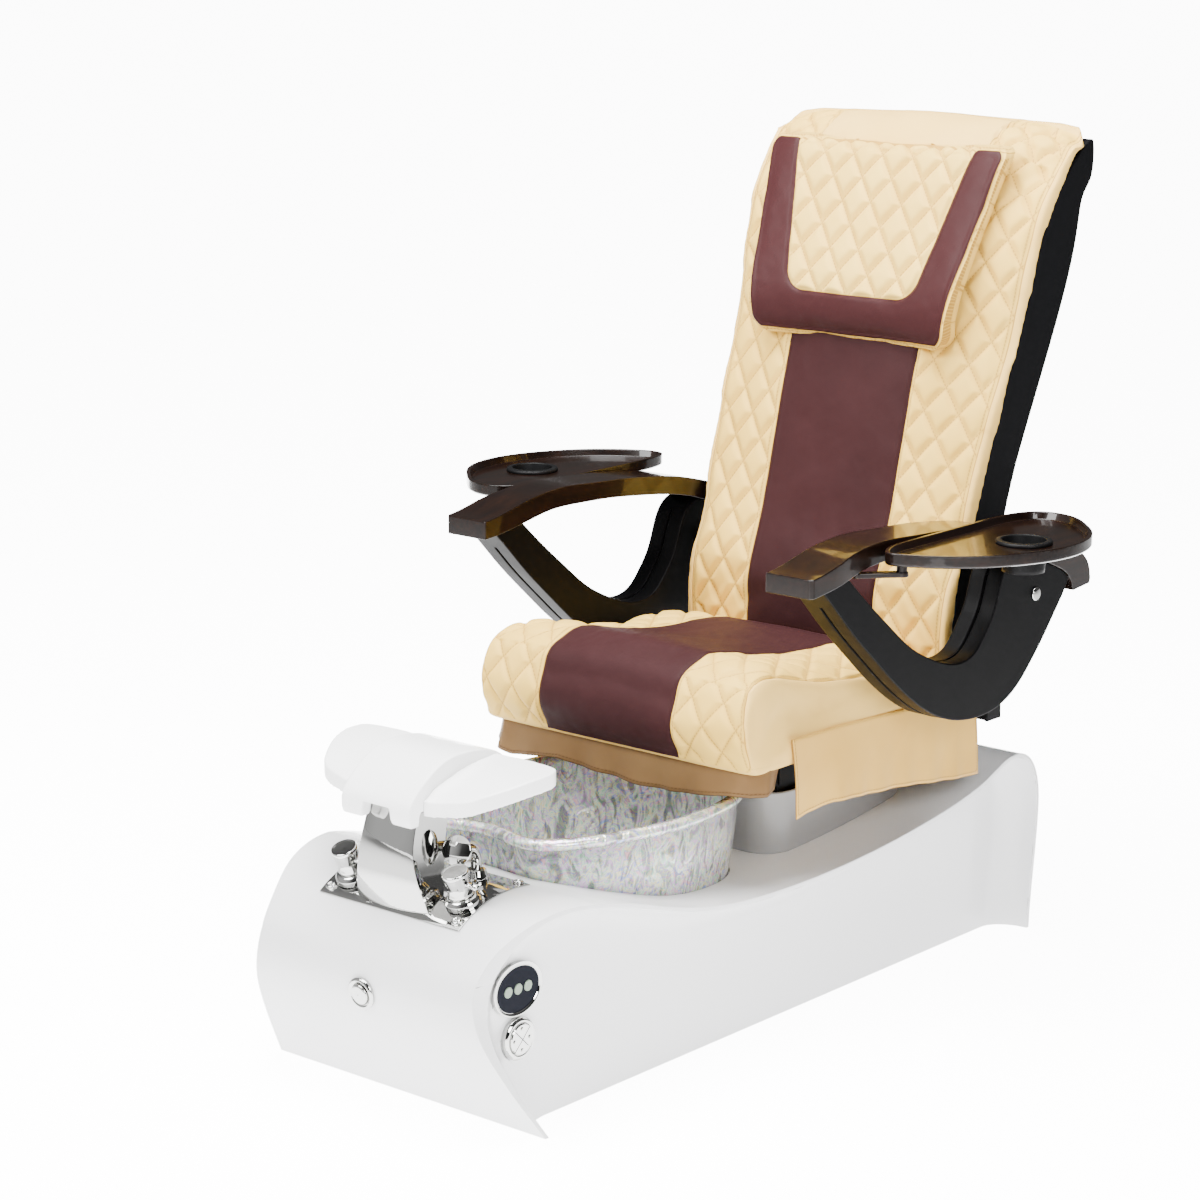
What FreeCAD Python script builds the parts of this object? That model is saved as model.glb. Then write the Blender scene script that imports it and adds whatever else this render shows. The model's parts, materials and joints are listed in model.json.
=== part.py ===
"""Pedicure spa chair: a foot basin in a moulded base, and a powered chair above it.

Millimetres. +Z is up, the chair faces -Y, and +X is on the right of someone looking along +Y.
The origin is on the floor, under the middle of the base.
"""
import FreeCAD, Part
import math
import os

V = FreeCAD.Vector

# Base
BASE_HALF = 300.0
WALL_X = BASE_HALF - 68.0
WALL_T = 6.0
RIBBON_T = 8.0
COVE = 50.0
BASE_SKIN = 7.0
NOSE_HALF = BASE_HALF - 62.0
BASE_PROFILE = [(-671, 0), (-743, 120), (-773, 235), (-726, 310), (-621, 358), (-448, 333), (-279, 285),
                (-80, 264), (172, 268), (400, 292), (560, 330), (640, 351), (692, 325), (714, 260),
                (711, 170), (694, 0)]
FLOOR_PAN_T = 3.0
PAN_FLANGE = 25.0

# Basin
RIM_TOP = 413.0
RIM_H = 20.0
BASIN_WALL = 5.0
BASIN_GAP = 1.5
BASIN_BOTTOM = 95.0
BASIN_OUTLINE = [(0, -486), (60, -497), (112, -503), (163, -460), (203, -370), (230, -250), (226, -153),
                 (203, -59), (130, 22), (0, 45)]
BASIN_TAPER = [(395, 10), (330, 16), (268, 24), (190, 36), (120, 54), (95, 82)]

# Deck plate, pedestal and footrest
PLATE_HALF = 155.0
PLATE_FRONT = -712.0
PLATE_BACK = -544.0
PLATE_T = 2.5
PEDESTAL = [(300, 82, -706, -660), (370, 70, -719, -655), (413, 61, -723, -643), (460, 56, -714, -632),
            (492, 55, -704, -622)]
SHEET_T = 2.0
SADDLE_HALF = 76.0
WING_T = 26.0
SADDLE_TOP = [(-734, 478), (-735, 515), (-704, 546), (-655, 573), (-588, 577), (-540, 567), (-517, 553)]
WING_TOP = [(-712, 519), (-697, 524), (-686, 532), (-660, 542), (-628, 551), (-598, 557), (-570, 560),
            (-534, 562)]
WING_EDGE = [(76, -708), (104, -703), (130, -697), (165, -686), (188, -660), (207, -628), (218, -598),
             (222, -570), (213, -546), (182, -536), (130, -534), (76, -536)]

# Seat and its supports
SEAT_HALF = 310.0
SEAT_BOTTOM = 480.0
SEAT_TOP = [(-174, 520), (-184, 570), (-180, 602), (-166, 636), (-114, 657), (-57, 651), (61, 624),
            (163, 611), (267, 605), (365, 584)]
SEAT_BACK_Y = 374.0
BOX_HALF = 180.0
BOX_FRONT = 55.0
BOX_BACK = 470.0
BOX_TOP = 375.0
BOX_R = 60.0
BOX_WALL = 5.0
RAIL_X = 140.0
RAIL_W = 25.0
RAIL_Z = 385.0
FRAME_Z = 440.0
TUBE = 40.0
RUN = 0.3
SHAFT_FIT = 0.05

# Back
HINGE_Y = 430.0
HINGE_Z = 500.0
LEAN = 19.4
RECLINE = 35.0
LEVER = 95.0
BACK_HALF_LOW = SEAT_HALF - 16.0
BACK_HALF_TOP = SEAT_HALF + 28.0
BACK_WIDTHS = [(540, 0.0), (900, 0.22), (1275, 0.74), (1484, 1.0)]
SHELL_WALL = 4.0
CENTRE_FRONT = [(392, 548), (377, 590), (420, 735), (462, 875), (514, 1094), (556, 1250), (600, 1400),
                (650, 1465), (718, 1492), (772, 1486)]
SIDE_FRONT = [(404, 556), (396, 600), (430, 741), (474, 872), (528, 1027), (557, 1110), (578, 1170), (606, 1290),
              (644, 1370), (690, 1432), (738, 1474), (773, 1480)]
PARTING = [(410, 560), (425, 640), (445, 741), (478, 823), (497, 875), (545, 1027), (572, 1110), (594, 1175),
           (624, 1290), (664, 1370), (708, 1426), (752, 1464), (774, 1472)]
SHELL_REAR = [(500, 545), (515, 580), (555, 715), (580, 818), (611, 912), (660, 1039), (708, 1166), (741, 1284),
              (748, 1336), (756, 1372), (777, 1402), (781, 1430), (779, 1455), (774, 1472)]

# Arms
ARM_IN = SEAT_HALF + 20.0
ARM_OUT = ARM_IN + 67.0
ARM_GROOVE_X = ARM_IN + 34.0
ARM_GROOVE_W = 3.0
ARM_GROOVE_D = 2.0
BOARD_IN = ARM_IN - 18.0
BOARD_OUT = ARM_OUT + 10.0
BOARD_SIDE = ARM_OUT + 3.0
PIVOT_Y = 531.0
PIVOT_Z = 687.0
ARM_LOW = [(-96, 796), (-58, 759), (-25, 725), (15, 687), (57, 650), (99, 613), (158, 567), (210, 534),
           (274, 507), (377, 494), (432, 503), (481, 526), (528, 566), (569, 608), (603, 647), (634, 687),
           (643, 723)]
ARM_LOOP = [(469, 775), (437, 755), (403, 679), (377, 643), (345, 613), (290, 604), (245, 615), (202, 633),
            (162, 654), (103, 698), (38, 751), (-26, 808)]
BOARD_TOP = [(-141, 826), (-90, 834), (-30, 848), (19, 855), (69, 858), (147, 854), (237, 849), (324, 840),
             (403, 828), (490, 806), (590, 775), (668, 744), (695, 723), (706, 677)]
BOARD_LOW = [(652, 672), (636, 702), (590, 728), (520, 757), (437, 785), (371, 799), (273, 811), (197, 818),
             (122, 821), (33, 820), (-26, 810), (-95, 798), (-141, 793)]
TRAY_TOP = 850.0
TRAY_BOTTOM = 828.0
TRAY_FLOOR = 838.0
TRAY_OUTLINE = [(28, 30), (6, 75), (2, 150), (2, 250), (2, 350), (7, 425), (36, 479), (92, 484), (155, 440),
                (204, 384), (232, 310), (226, 216), (192, 139), (158, 93), (116, 57), (65, 30)]
TRAY_TURN_Y = 512.0
TRAY_PIN_X = BOARD_SIDE - 15.0
TRAY_PIN_Y = 10.0
TRAY_BOSS = (BOARD_SIDE + 37.0, 66.0)
CUP_R = 40.0
CUP_RIM_R = 48.4
CUP_DEPTH = 48.0
CUP_RIGHT = (BOARD_SIDE + 133.0, 283.0)

# Controls on the base
PANEL_Y = -668.0
PANEL_Z = 235.0
PANEL_A = 56.0
PANEL_B = 44.0
PANEL_T = 9.0
PANEL_BUTTON_R = 9.0
PANEL_BUTTONS = [-22.0, 1.0, 24.0]
KEYPAD_Y = -665.0
KEYPAD_Z = 152.0
KEYPAD_R = 35.5
KEYPAD_T = 12.0
FRONT_BUTTON_Z = 201.0
FRONT_BUTTON_R = 27.0


def spline(points, closed=False):
    curve = Part.BSplineCurve()
    curve.interpolate([V(*p) for p in points], PeriodicFlag=closed)
    return curve


def side_wire(front, back, x, straight=False):
    """A closed outline in the plane at x: one smooth curve, then another or straight runs."""
    edges = [spline([(x, y, z) for y, z in front]).toShape()]
    start, end = V(x, *back[0]), V(x, *back[-1])
    if (start - V(x, *front[-1])).Length > 1e-6:
        edges.append(Part.makeLine(V(x, *front[-1]), start))
    if straight:
        corners = [V(x, y, z) for y, z in back]
        edges += [Part.makeLine(a, b) for a, b in zip(corners, corners[1:])]
    elif len(back) > 2:
        edges.append(spline([(x, y, z) for y, z in back]).toShape())
    else:
        edges.append(Part.makeLine(start, end))
    if (end - V(x, *front[0])).Length > 1e-6:
        edges.append(Part.makeLine(end, V(x, *front[0])))
    return Part.Wire(edges)


def slab(wire, length):
    """Solid from a closed wire in a YZ plane, carried along +X."""
    return Part.Face(wire).extrude(V(length, 0, 0))


def polygon(points, axis, low, high):
    """Straight-sided prism. The points lie in the plane across the axis X, Y or Z."""
    place = {"X": lambda a, b: V(low, a, b), "Y": lambda a, b: V(a, low, b), "Z": lambda a, b: V(a, b, low)}
    way = {"X": V(1, 0, 0), "Y": V(0, 1, 0), "Z": V(0, 0, 1)}[axis]
    loop = [place[axis](a, b) for a, b in points]
    return Part.Face(Part.makePolygon(loop + [loop[0]])).extrude(way * (high - low))


def block(x0, x1, y0, y1, z0, z1):
    return Part.makeBox(x1 - x0, y1 - y0, z1 - z0, V(x0, y0, z0))


def rod(start, end, radius):
    start, end = V(*start), V(*end)
    return Part.makeCylinder(radius, (end - start).Length, start, end - start)


def stub(centre, axis, radius, low, high):
    """Cylinder on an axis through centre, from low to high along it."""
    axis = V(*axis).normalize()
    return Part.makeCylinder(radius, high - low, V(*centre) + axis * low, axis)


def turned(centre, axis, outline):
    """Solid of revolution about an axis through centre; outline lists (radius, height) pairs."""
    loop = [V(r, 0, h) for r, h in outline]
    face = Part.Face(Part.makePolygon(loop + [loop[0]]))
    solid = face.revolve(V(0, 0, 0), V(0, 0, 1), 360)
    solid.Placement = FreeCAD.Placement(V(*centre), FreeCAD.Rotation(V(0, 0, 1), V(*axis)))
    return solid


def union(parts):
    solid = parts[0]
    if len(parts) > 1:
        solid = solid.fuse(parts[1:])
    return solid.removeSplitter()


def mirrored(shape):
    return shape.mirror(V(0, 0, 0), V(1, 0, 0))


def both_sides(shape):
    return Part.makeCompound([shape, mirrored(shape)])


def rounded_block(x0, x1, y0, y1, z0, z1, radius):
    solid = block(x0, x1, y0, y1, z0, z1)
    upright = [e for e in solid.Edges if abs(e.tangentAt(e.FirstParameter).z) > 0.99]
    return solid.makeFillet(radius, upright)


def export(name, shape):
    solids = shape.Solids
    result = solids[0] if len(solids) == 1 else Part.makeCompound(solids)
    result.exportStep("parts/" + name + ".step")
    good = all(s.isValid() for s in solids)
    print(f"{name:22s} solids {len(solids):2d} volume {shape.Volume / 1000:10.2f} cm3 valid {good}")


# Base

def base_curve():
    """The base's side profile, carried below the floor along its own ends."""
    below = 40.0
    toe, heel = BASE_PROFILE[0], BASE_PROFILE[-1]
    lean = (BASE_PROFILE[1][0] - toe[0]) / (BASE_PROFILE[1][1] - toe[1])
    points = [(toe[0] - lean * below, toe[1] - below)] + BASE_PROFILE + [(heel[0], heel[1] - below)]
    return spline([(0, y, z) for y, z in points])


def base_offset(inward, samples=34):
    """Points of the base profile moved inward along its normals."""
    curve = base_curve()
    first, last = curve.FirstParameter, curve.LastParameter
    points = []
    for i in range(samples + 1):
        u = first + (last - first) * i / samples
        at, along = curve.value(u), curve.tangent(u)[0]
        points.append((at.y + along.z * inward, at.z - along.y * inward))
    return points


def base_wire(inward, x):
    points = base_offset(inward)
    return side_wire(points, [points[-1], points[0]], x)


def base_block(inward, half):
    return slab(base_wire(inward, -half), 2 * half)


def side_recess():
    """The hollow beside the wall: a quarter-ellipse cove that opens from the wall to the ribbon's lip."""
    wires = []
    for i in range(6):
        turn = math.radians(18 * i)
        depth = RIBBON_T + COVE * (1 - math.sin(turn))
        wires.append(base_wire(depth, WALL_X + (BASE_HALF - 3 - WALL_X) * (1 - math.cos(turn))))
    cove = Part.makeLoft(wires, True, True)
    lip = slab(base_wire(RIBBON_T, BASE_HALF - 3), 40)
    return [lip, cove]


def nose_trim():
    """What is cut away beside the nose, seen from above and from the front."""
    side, clear = BASE_HALF, BASE_HALF + 20
    high = [(side, -550), (side - 20, -621), (side - 39, -689), (side - 53, -727), (NOSE_HALF, -772)]
    low = [(side, 0), (side - 23, 80), (side - 44, 160), (side - 57, 215), (NOSE_HALF, 262)]
    top_curve = spline([(x, y, 262) for x, y in high]).toShape()
    top = Part.Wire([top_curve, Part.makeLine(V(NOSE_HALF, -772, 262), V(NOSE_HALF, -800, 262)),
                     Part.makeLine(V(NOSE_HALF, -800, 262), V(clear, -800, 262)),
                     Part.makeLine(V(clear, -800, 262), V(clear, -550, 262)),
                     Part.makeLine(V(clear, -550, 262), V(side, -550, 262))])
    front_curve = spline([(x, -800, z) for x, z in low]).toShape()
    front = Part.Wire([front_curve, Part.makeLine(V(NOSE_HALF, -800, 262), V(clear, -800, 262)),
                       Part.makeLine(V(clear, -800, 262), V(clear, -800, 0)),
                       Part.makeLine(V(clear, -800, 0), V(side, -800, 0))])
    upper = Part.Face(top).extrude(V(0, 0, 140))
    lower = Part.Face(front).extrude(V(0, 220, 0))
    return [upper, lower]


def basin_wire(inset, z):
    """The rim's outline drawn in by inset on its long and short axes."""
    half = BASIN_OUTLINE
    points = half + [(-x, y) for x, y in reversed(half[1:-1])]
    wide = max(x for x, y in half)
    middle = (half[0][1] + half[-1][1]) / 2
    deep = (half[-1][1] - half[0][1]) / 2
    drawn = [(x * (wide - inset) / wide, middle + (y - middle) * (deep - inset) / deep, z) for x, y in points]
    return Part.Wire(spline(drawn, True).toShape())


def basin_body(extra, raise_bottom=0.0):
    """The tapering bowl as a plug: extra thins it on every side."""
    wires = [basin_wire(inset + extra, z + (raise_bottom if z == BASIN_BOTTOM else 0))
             for z, inset in BASIN_TAPER]
    wires.insert(0, basin_wire(BASIN_TAPER[0][1] + extra, RIM_TOP + 10))
    return Part.makeLoft(wires, True, True)


def make_base():
    shell = base_block(0, BASE_HALF).cut(block(-400, 400, -900, 900, -80, 0))
    for piece in side_recess() + nose_trim():
        shell = shell.cut(piece)
        shell = shell.cut(mirrored(piece))
    shell = shell.cut(base_block(BASE_SKIN, WALL_X - WALL_T))
    opening = rounded_block(-BOX_HALF + 12, BOX_HALF - 12, BOX_FRONT + 13, BOX_BACK - 15, 200, 420, 40)
    plumbing = block(-137, 137, -690, -572, 280, 380)
    for tool in [basin_body(-BASIN_GAP), opening, plumbing] + control_holes() + screw_holes():
        shell = shell.cut(tool)
    export("base_shell", shell)
    make_floor_pan()


def make_floor_pan():
    half = WALL_X - WALL_T - 6
    front, back = -645, 668
    pan = block(-half, half, front, back, 0, PAN_FLANGE)
    pan = pan.cut(block(-half + FLOOR_PAN_T, half - FLOOR_PAN_T, front + FLOOR_PAN_T, back - FLOOR_PAN_T,
                        FLOOR_PAN_T, PAN_FLANGE + 1))
    drain = rod((0, DRAIN_OUT_Y, -1), (0, DRAIN_OUT_Y, 10), PIPE_R + 1)
    pan = pan.cut(drain)
    export("floor_pan", pan)


# Basin, drain and jet

DRAIN_Y = -110.0
DRAIN_OUT_Y = 90.0
PIPE_LEVEL = 33.0
PIPE_BEND = 26.0
PIPE_R = 20.0
PIPE_WALL = 2.5
JET_Y = -330.0
JET_R = 46.0


def make_basin():
    bowl = basin_body(0)
    rim = Part.makeLoft([basin_wire(8, RIM_TOP - RIM_H), basin_wire(2.5, RIM_TOP - RIM_H + 4),
                         basin_wire(0, RIM_TOP - RIM_H / 2), basin_wire(2.5, RIM_TOP - 4),
                         basin_wire(8, RIM_TOP)], True, True)
    bowl = bowl.cut(block(-300, 300, -600, 200, RIM_TOP - 2, RIM_TOP + 40)).fuse(rim)
    bowl = bowl.cut(basin_body(BASIN_WALL + 1, BASIN_WALL))
    bowl = bowl.cut(rod((0, DRAIN_Y, 80), (0, DRAIN_Y, 120), PIPE_R + 0.3))
    export("basin", bowl)
    floor = BASIN_BOTTOM + BASIN_WALL
    flange = turned((0, DRAIN_Y, floor), (0, 0, 1), [(PIPE_R - PIPE_WALL, -30), (PIPE_R, -30), (PIPE_R, 0),
                    (34, 0), (34, 2), (30, 3.5), (PIPE_R - PIPE_WALL, 3.5)])
    bridge = block(-PIPE_R + 1, PIPE_R - 1, DRAIN_Y - 3, DRAIN_Y + 3, floor - 20, floor - 12)
    bridge = bridge.common(rod((0, DRAIN_Y, 60), (0, DRAIN_Y, 120), PIPE_R - 0.5))
    guide = rod((0, DRAIN_Y, floor - 20), (0, DRAIN_Y, floor - 12), 7)
    flange = union([flange, bridge, guide]).cut(rod((0, DRAIN_Y, 60), (0, DRAIN_Y, 120), 3 + SHAFT_FIT))
    export("drain_flange", flange)
    plug = turned((0, DRAIN_Y, floor), (0, 0, 1), [(0, -26), (3, -26), (3, 4), (25, 4), (28, 6), (26, 9),
                  (12, 12), (0, 12.5)])
    export("drain_plug", plug)
    top = floor - 30
    route = [(0, DRAIN_Y, top), (0, DRAIN_Y, PIPE_LEVEL), (0, DRAIN_OUT_Y, PIPE_LEVEL), (0, DRAIN_OUT_Y, 0)]
    outside = pipe_route(route, PIPE_BEND, PIPE_R)
    inside = pipe_route(route, PIPE_BEND, PIPE_R - PIPE_WALL)
    export("drain_pipe", outside.cut(inside))
    cap = turned((0, JET_Y, floor), (0, 0, 1), [(JET_R - 3, 0), (JET_R, 0), (JET_R, 14), (JET_R - 8, 24),
                 (0, 24), (0, 20), (JET_R - 10, 20), (JET_R - 3, 13)])
    holes = []
    for ring, count in ((14, 6), (28, 12)):
        for i in range(count):
            turn = 2 * math.pi * i / count
            x, y = ring * math.cos(turn), JET_Y + ring * math.sin(turn)
            holes.append(rod((x, y, floor + 15), (x, y, floor + 30), 3))
    post = rod((0, JET_Y, floor), (0, JET_Y, floor + 20), 4)
    export("jet_cap", cap.fuse(post).cut(holes))
    hub = rod((0, JET_Y, floor + 3), (0, JET_Y, floor + 16), 10)
    blades = []
    for i in range(6):
        blade = block(6, JET_R - 10, -1.5, 1.5, floor + 4, floor + 11)
        blade.rotate(V(0, 0, 0), V(0, 0, 1), 60 * i)
        blade.translate(V(0, JET_Y, 0))
        blades.append(blade)
    wheel = union([hub] + blades).cut(rod((0, JET_Y, floor), (0, JET_Y, floor + 30), 4 + SHAFT_FIT))
    export("jet_impeller", wheel)
    motor = turned((0, JET_Y, BASIN_BOTTOM), (0, 0, 1), [(0, 0), (0, -70), (26, -70), (28, -66), (28, -14),
                   (44, -12), (44, 0)])
    export("jet_motor", motor)


def pipe_route(points, radius, tube):
    """Straight runs joined by tangent arcs, swept with a round section."""
    pts = [V(*p) for p in points]
    edges = []
    here = pts[0]
    for before, corner, after in zip(pts, pts[1:], pts[2:]):
        back = (before - corner).normalize()
        on = (after - corner).normalize()
        half = back.getAngle(on) / 2
        cut = radius / math.tan(half)
        start, end = corner + back * cut, corner + on * cut
        middle = corner + (back + on).normalize() * (radius / math.sin(half) - radius)
        if (start - here).Length > 1e-4:
            edges.append(Part.makeLine(here, start))
        edges.append(Part.Arc(start, middle, end).toShape())
        here = end
    edges.append(Part.makeLine(here, pts[-1]))
    path = Part.Wire(edges)
    section = Part.Wire(Part.makeCircle(tube, pts[0], pts[1] - pts[0]))
    return path.makePipe(Part.Face(section))


# Deck plate, pedestal, footrest and taps

def deck_points(rise, front, back, count=9):
    """Points a given rise above the base's top between two Y places."""
    points = []
    curve = base_curve()
    for i in range(count):
        y = front + (back - front) * i / (count - 1)
        at, along = deck_at(curve, y)
        points.append((at.y - along.z * rise, at.z + along.y * rise))
    return points


def deck_at(curve, y):
    """Point of the base's top at y, and the way the profile runs there."""
    low, high = curve.parameter(V(0, -773, 235)), curve.parameter(V(0, -279, 285))
    for _ in range(50):
        middle = (low + high) / 2
        if curve.value(middle).y < y:
            low = middle
        else:
            high = middle
    return curve.value(low), curve.tangent(low)[0]


def deck_frame(x, y, rise=0.0):
    """Place on the deck plate and its upward normal."""
    at, along = deck_at(base_curve(), y)
    normal = V(0, -along.z, along.y)
    return V(x, at.y, at.z) + normal * rise, normal


MIXER = (120.0, -662.0)
DIVERTER = (-114.0, -672.0)
SPRAY = (80.0, -590.0)
TAP_SPINDLE = 7.0
SPRAY_STEM = 9.0


DECK_SCREWS = [(-140, -699), (140, -699), (-140, -556), (140, -556)]
SCREW_R = 4.0


def screw_holes():
    holes = []
    for x, y in DECK_SCREWS:
        at, normal = deck_frame(x, y)
        holes.append(stub(at, normal, SCREW_R, -25, 10))
    return holes


def make_deck():
    top = deck_points(PLATE_T, PLATE_FRONT, PLATE_BACK)
    low = deck_points(0, PLATE_FRONT, PLATE_BACK)
    plate = slab(side_wire(top, list(reversed(low)), -PLATE_HALF), 2 * PLATE_HALF)
    taps = []
    for x, y, radius in ((*MIXER, 16), (*DIVERTER, 16), (*SPRAY, 14)):
        at, normal = deck_frame(x, y)
        taps.append(stub(at, normal, radius, -30, 30))
    screws, recesses = [], []
    for x, y in DECK_SCREWS:
        at, normal = deck_frame(x, y, PLATE_T)
        recesses.append(stub(at, normal, SCREW_R, -20, 10))
        head = turned(at, normal, [(0, -18), (SCREW_R, -18), (SCREW_R, 0), (9, 0), (9, 3), (6.5, 5), (0, 5)])
        hexagon = Part.makePolygon([V(3.2 * math.cos(math.radians(60 * i)), 3.2 * math.sin(math.radians(60 * i)),
                                      2) for i in range(7)])
        socket = Part.Face(hexagon).extrude(V(0, 0, 5))
        socket.Placement = FreeCAD.Placement(at, FreeCAD.Rotation(V(0, 0, 1), normal))
        screws.append(head.cut(socket))
    export("deck_plate", plate.cut(taps + recesses))
    export("deck_screws", Part.makeCompound(screws))
    make_pedestal(plate)
    make_taps()


def column_wire(z, half, front, back, inset=0.0):
    """Upright column section: bowed front, straight sides, flat back."""
    a, b = half - inset, back - inset
    f = front + inset
    bow = 8.0
    edges = [Part.Arc(V(-a, f + bow, z), V(0, f, z), V(a, f + bow, z)).toShape(),
             Part.makeLine(V(a, f + bow, z), V(a, b, z)), Part.makeLine(V(a, b, z), V(-a, b, z)),
             Part.makeLine(V(-a, b, z), V(-a, f + bow, z))]
    return Part.Wire(edges)


def make_pedestal(plate):
    outer = Part.makeLoft([column_wire(*row) for row in PEDESTAL], True, False)
    inner = Part.makeLoft([column_wire(*row, SHEET_T) for row in PEDESTAL], True, False)
    under = slab(side_wire(deck_points(PLATE_T, PLATE_FRONT - 20, PLATE_BACK),
                           [(PLATE_BACK, 200), (PLATE_FRONT - 20, 200)], -200), 400)
    top = PEDESTAL[-1][0]
    column = outer.cut([inner, under])
    lid = block(-52, 52, PEDESTAL[-1][2] + 12, PEDESTAL[-1][3] - 2, top - 4, top)
    export("pedestal", column.fuse(lid))
    rail_y0, rail_y1 = PEDESTAL[-1][2] + 14, PEDESTAL[-1][3] - 4
    foot = block(-40, 40, rail_y0, rail_y1, top, top + 6)
    neck = block(-8, 8, rail_y0, rail_y1, top + 6, top + 16)
    head = block(-14, 14, rail_y0, rail_y1, top + 16, top + 22)
    export("footrest_track", union([foot, neck, head]))
    make_footrest(top)


def make_footrest(track_z):
    under = [(-521, 540), (-560, 528), (-615, track_z + 9), (-712, track_z + 9), (-716, 478)]
    saddle = slab(side_wire(SADDLE_TOP, under, -SADDLE_HALF, True), 2 * SADDLE_HALF)
    arch = polygon([(-38, 440), (38, 440), (30, 505), (-30, 505)], "Y", -800, -706)
    gap = 1.0
    slot = [(-8 - gap, track_z + 6), (-8 - gap, track_z + 16 - gap), (-14 - gap, track_z + 16 - gap),
            (-14 - gap, track_z + 22 + gap), (14 + gap, track_z + 22 + gap), (14 + gap, track_z + 16 - gap),
            (8 + gap, track_z + 16 - gap), (8 + gap, track_z + 6)]
    channel = polygon(slot, "Y", -800, -500)
    channel = channel.cut(block(-50, 50, -800, -712, 400, 600))
    saddle = saddle.cut([arch, channel])
    export("footrest_saddle", saddle)
    low = [(y, z - WING_T) for y, z in reversed(WING_TOP)]
    sheet = slab(side_wire(WING_TOP, low, 0), SADDLE_HALF + 200)
    plan = [V(SADDLE_HALF, WING_EDGE[0][1], 400), V(SADDLE_HALF, WING_EDGE[-1][1], 400)]
    edge = spline([(x, y, 400) for x, y in WING_EDGE]).toShape()
    outline = Part.Face(Part.Wire([edge, Part.makeLine(plan[1], plan[0])])).extrude(V(0, 0, 300))
    export("footrest_pads", both_sides(sheet.common(outline)))


def make_taps():
    bodies = []
    for x, y in (MIXER, DIVERTER):
        at, normal = deck_frame(x, y, PLATE_T)
        bodies.append(turned(at, normal, [(0, -60), (14, -60), (14, 0), (30, 0), (30, 9), (26, 14), (22, 16),
                                          (TAP_SPINDLE, 16), (TAP_SPINDLE, 44), (0, 44)]))
    at, normal = deck_frame(*SPRAY, PLATE_T)
    bodies.append(turned(at, normal, [(SPRAY_STEM + 0.3, -40), (13, -40), (13, 0), (20, 0), (20, 5), (15, 18),
                                      (SPRAY_STEM + 0.3, 18)]))
    export("valve_bodies", Part.makeCompound(bodies))
    for name, place, lever_turn in (("mixer_knob", MIXER, 222), ("diverter_knob", DIVERTER, 300)):
        at, normal = deck_frame(*place, PLATE_T)
        skirt = turned(at, normal, [(TAP_SPINDLE + SHAFT_FIT, 16.3), (21, 16.3), (22, 20), (20, 27), (19, 32),
                                    (22.5, 58), (21, 61), (17, 60), (0, 59), (0, 44.5),
                                    (TAP_SPINDLE + SHAFT_FIT, 44.5)])
        lever = polygon([(16, -3.5), (30, -5), (40, -5.5), (43, -3), (43, 3), (40, 5.5), (30, 5), (16, 3.5)],
                        "Z", 37, 42)
        lever.rotate(V(0, 0, 0), V(0, 0, 1), lever_turn)
        lever.Placement = FreeCAD.Placement(at, FreeCAD.Rotation(V(0, 0, 1), normal))
        export(name, skirt.fuse(lever))
    at, normal = deck_frame(*SPRAY, PLATE_T)
    low = at - normal * 30
    bend = at + normal * 55
    tip = V(SPRAY[0] + 8, -640, 424)
    neck = pipe_route([tuple(low), tuple(bend), tuple(tip)], 30, SPRAY_STEM)
    face_way = V(0.35, -0.85, 0.3).normalize()
    head = turned(tip, face_way, [(0, -6), (14, -6), (24, 2), (25, 7), (23, 9), (0, 9)])
    export("hand_spray", neck.fuse(head))
    hoses = []
    for x, y in (MIXER, DIVERTER):
        at, normal = deck_frame(x, y, PLATE_T)
        start = at - normal * 60
        side = 1 if x > 0 else -1
        route = [tuple(start), tuple(start - normal * 60), (side * 165, -520, 160), (side * 185, -400, 60),
                 (side * 185, -300, 30)]
        hoses.append(pipe_route(route, 30, 6))
    export("supply_hoses", Part.makeCompound(hoses))


# Controls

def oval(a, b, x, y, z):
    curve = Part.Ellipse(V(x, y + a, z), V(x, y, z + b), V(x, y, z))
    return Part.Wire(curve.toShape())


def oval_plug(a, b, x0, x1, y, z):
    return Part.Face(oval(a, b, x0, y, z)).extrude(V(x1 - x0, 0, 0))


def control_holes():
    at, normal = nose_frame()
    return [oval_plug(PANEL_A - 8, PANEL_B - 8, WALL_X - 20, WALL_X + 20, PANEL_Y, PANEL_Z),
            oval_plug(PANEL_A + 1, PANEL_B + 1, WALL_X, WALL_X + 12, PANEL_Y, PANEL_Z),
            rod((WALL_X - 20, KEYPAD_Y, KEYPAD_Z), (WALL_X + 20, KEYPAD_Y, KEYPAD_Z), KEYPAD_R - 8),
            rod((WALL_X, KEYPAD_Y, KEYPAD_Z), (WALL_X + 12, KEYPAD_Y, KEYPAD_Z), KEYPAD_R + 1),
            stub(at, normal, 13, -30, 30)]


def nose_frame():
    """Point of the nose at the push button's height, and its outward normal."""
    curve = base_curve()
    low, high = curve.parameter(V(0, -743, 120)), curve.parameter(V(0, -773, 235))
    for _ in range(50):
        middle = (low + high) / 2
        if curve.value(middle).z < FRONT_BUTTON_Z:
            low = middle
        else:
            high = middle
    along = curve.tangent(low)[0]
    return curve.value(low), V(0, -along.z, along.y)


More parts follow.
